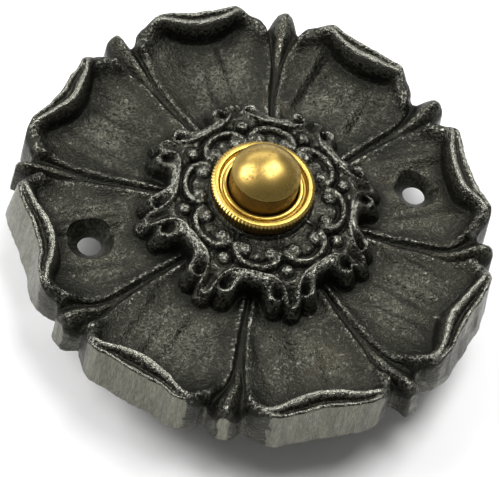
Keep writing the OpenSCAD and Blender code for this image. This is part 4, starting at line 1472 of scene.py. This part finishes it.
class DOORBELL_OT_springs(bpy.types.Operator):
    """Puts copies in place of the parts that give way when the button is pressed"""

    bl_idname = "doorbell.springs"
    bl_label = "Flexing Parts"

    def execute(self, context):
        low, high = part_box("return_spring")
        joint = next(joint for joint in frame["joints"] if joint["name"] == "button_press")
        press = joint["range_m"][1]
        spring = self.add_copy("return_spring", "steel")
        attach(spring, "base")
        keep = 1 - press / (high.z - low.z)
        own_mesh(spring)
        for node, slot, root, follows in (
            ("moving_leaf", "screw_brass", LEAF_ROOT, LEAF_FOLLOWS),
            ("moving_contact", "silver", LEAF_ROOT, LEAF_FOLLOWS),
            ("fixed_strip", "screw_brass", STRIP_ROOT, STRIP_FOLLOWS),
            ("fixed_contact", "silver", STRIP_ROOT, STRIP_FOLLOWS),
        ):
            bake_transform(self.add_copy(node, slot))
        return {"FINISHED"}

    def add_copy(self, node, slot):
        """A copy of a node that may change its shape. The node itself is only hidden."""
        source = frame["nodes"][node]
        piece = bpy.data.objects.new(f"flexing_{node}", source.data.copy())
        bpy.context.scene.collection.objects.link(piece)
        piece.matrix_world = source.matrix_world.copy()
        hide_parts(node)
        return piece


class DOORBELL_OT_stage(bpy.types.Operator):
    """Adds the floor, the lights and the camera"""

    bl_idname = "doorbell.stage"
    bl_label = "Stage"

    def execute(self, context):
        scene, stage = context.scene, context.scene.doorbell_stage
        self.add_floor(stage)
        self.add_world(scene)
        self.add_light("key_light", (0.26, 0.16, 0.76), width=0.36, height=0.60, power=7.0)
        self.add_light("side_light", (-0.51, 0.29, 0.55), width=0.38, height=0.38, power=6.0)
        self.add_light("back_light", (0.20, 1.30, 0.75), width=1.60, height=0.70, power=7.0)
        self.add_camera(scene, stage)
        scene.view_settings.view_transform = "Standard"
        return {"FINISHED"}

    def add_floor(self, stage):
        f = Finish("floor")
        speck = f.noise(f.place(), 0.02, detail=2)
        tone = f.blend(speck, stage.floor, [c * 0.985 for c in stage.floor])
        material = f.surface(Base_Color=tone, Roughness=0.85)
        floor_z = CAD_BOX[0][2] * TO_MM - 0.05
        reach = 4000
        square = ((-1, -1), (1, -1), (1, 1), (-1, 1))
        corners = [(x * reach, y * reach, floor_z) for x, y in square]
        floor = new_piece("floor", corners, [(0, 1, 2, 3)])
        floor.data.materials.append(material)

    def add_world(self, scene):
        world = bpy.data.worlds.new("studio")
        scene.world = world
        world.use_nodes = True
        background = world.node_tree.nodes["Background"]
        background.inputs["Color"].default_value = (1.0, 1.0, 1.0, 1)
        background.inputs["Strength"].default_value = 0.19

    def add_light(self, name, place, width, height, power):
        data = bpy.data.lights.new(name, "AREA")
        data.shape = "RECTANGLE"
        data.size = width
        data.size_y = height
        data.energy = power
        light = bpy.data.objects.new(name, data)
        bpy.context.scene.collection.objects.link(light)
        back = np.array(place) / np.linalg.norm(place)
        right = np.cross((0, 0, 1), back)
        right /= np.linalg.norm(right)
        light.matrix_world = facing(right, np.cross(back, right), back, place)

    def add_camera(self, scene, stage):
        data = bpy.data.cameras.new("camera")
        data.lens = stage.lens
        data.clip_start = 0.01
        camera = bpy.data.objects.new("camera", data)
        scene.collection.objects.link(camera)
        az, el, roll = stage.azimuth, stage.elevation, stage.roll
        back = np.array([math.sin(az) * math.cos(el), -math.cos(az) * math.cos(el), math.sin(el)])
        level = np.cross((0, 0, 1), back)
        level /= np.linalg.norm(level)
        upright = np.cross(back, level)
        right = level * math.cos(roll) + upright * math.sin(roll)
        up = np.cross(back, right)
        place = np.array(stage.aim) + back * stage.distance
        camera.matrix_world = facing(right, up, back, place)
        scene.camera = camera


def facing(right, up, back, place):
    """A placement whose axes are right, up and back."""
    columns = np.eye(4)
    columns[:3, 0], columns[:3, 1], columns[:3, 2], columns[:3, 3] = right, up, back, place
    return Matrix(columns.tolist())


class DOORBELL_PT_sidebar(bpy.types.Panel):
    """Lists the doorbell push's steps and sizes"""

    bl_label = "Doorbell Push"
    bl_space_type = "VIEW_3D"
    bl_region_type = "UI"
    bl_category = "Doorbell"

    def draw(self, context):
        for name in SETTINGS:
            box = self.layout.box()
            settings = getattr(context.scene, name)
            for key in settings.__annotations__:
                box.prop(settings, key)
        for operator in OPERATORS:
            self.layout.operator(operator.bl_idname)


SETTINGS = {
    "doorbell_rosette": RosetteSettings,
    "doorbell_iron": IronSettings,
    "doorbell_brass": BrassSettings,
    "doorbell_stage": StageSettings,
}
OPERATORS = (
    DOORBELL_OT_rosette,
    DOORBELL_OT_ring_nut,
    DOORBELL_OT_barrel,
    DOORBELL_OT_button,
    DOORBELL_OT_contacts,
    DOORBELL_OT_springs,
    DOORBELL_OT_stage,
)


def register():
    for group in (*SETTINGS.values(), *OPERATORS, DOORBELL_PT_sidebar):
        bpy.utils.register_class(group)
    for name, group in SETTINGS.items():
        setattr(bpy.types.Scene, name, PointerProperty(type=group))


def unregister():
    for name in SETTINGS:
        delattr(bpy.types.Scene, name)
    for group in reversed((*SETTINGS.values(), *OPERATORS, DOORBELL_PT_sidebar)):
        bpy.utils.unregister_class(group)


def main():
    register()
    bpy.ops.doorbell.rosette()
    bpy.ops.doorbell.ring_nut()
    bpy.ops.doorbell.barrel()
    bpy.ops.doorbell.button()
    bpy.ops.doorbell.contacts()
    bpy.ops.doorbell.springs()
    bpy.ops.doorbell.stage()


if __name__ == "__main__":
    main()
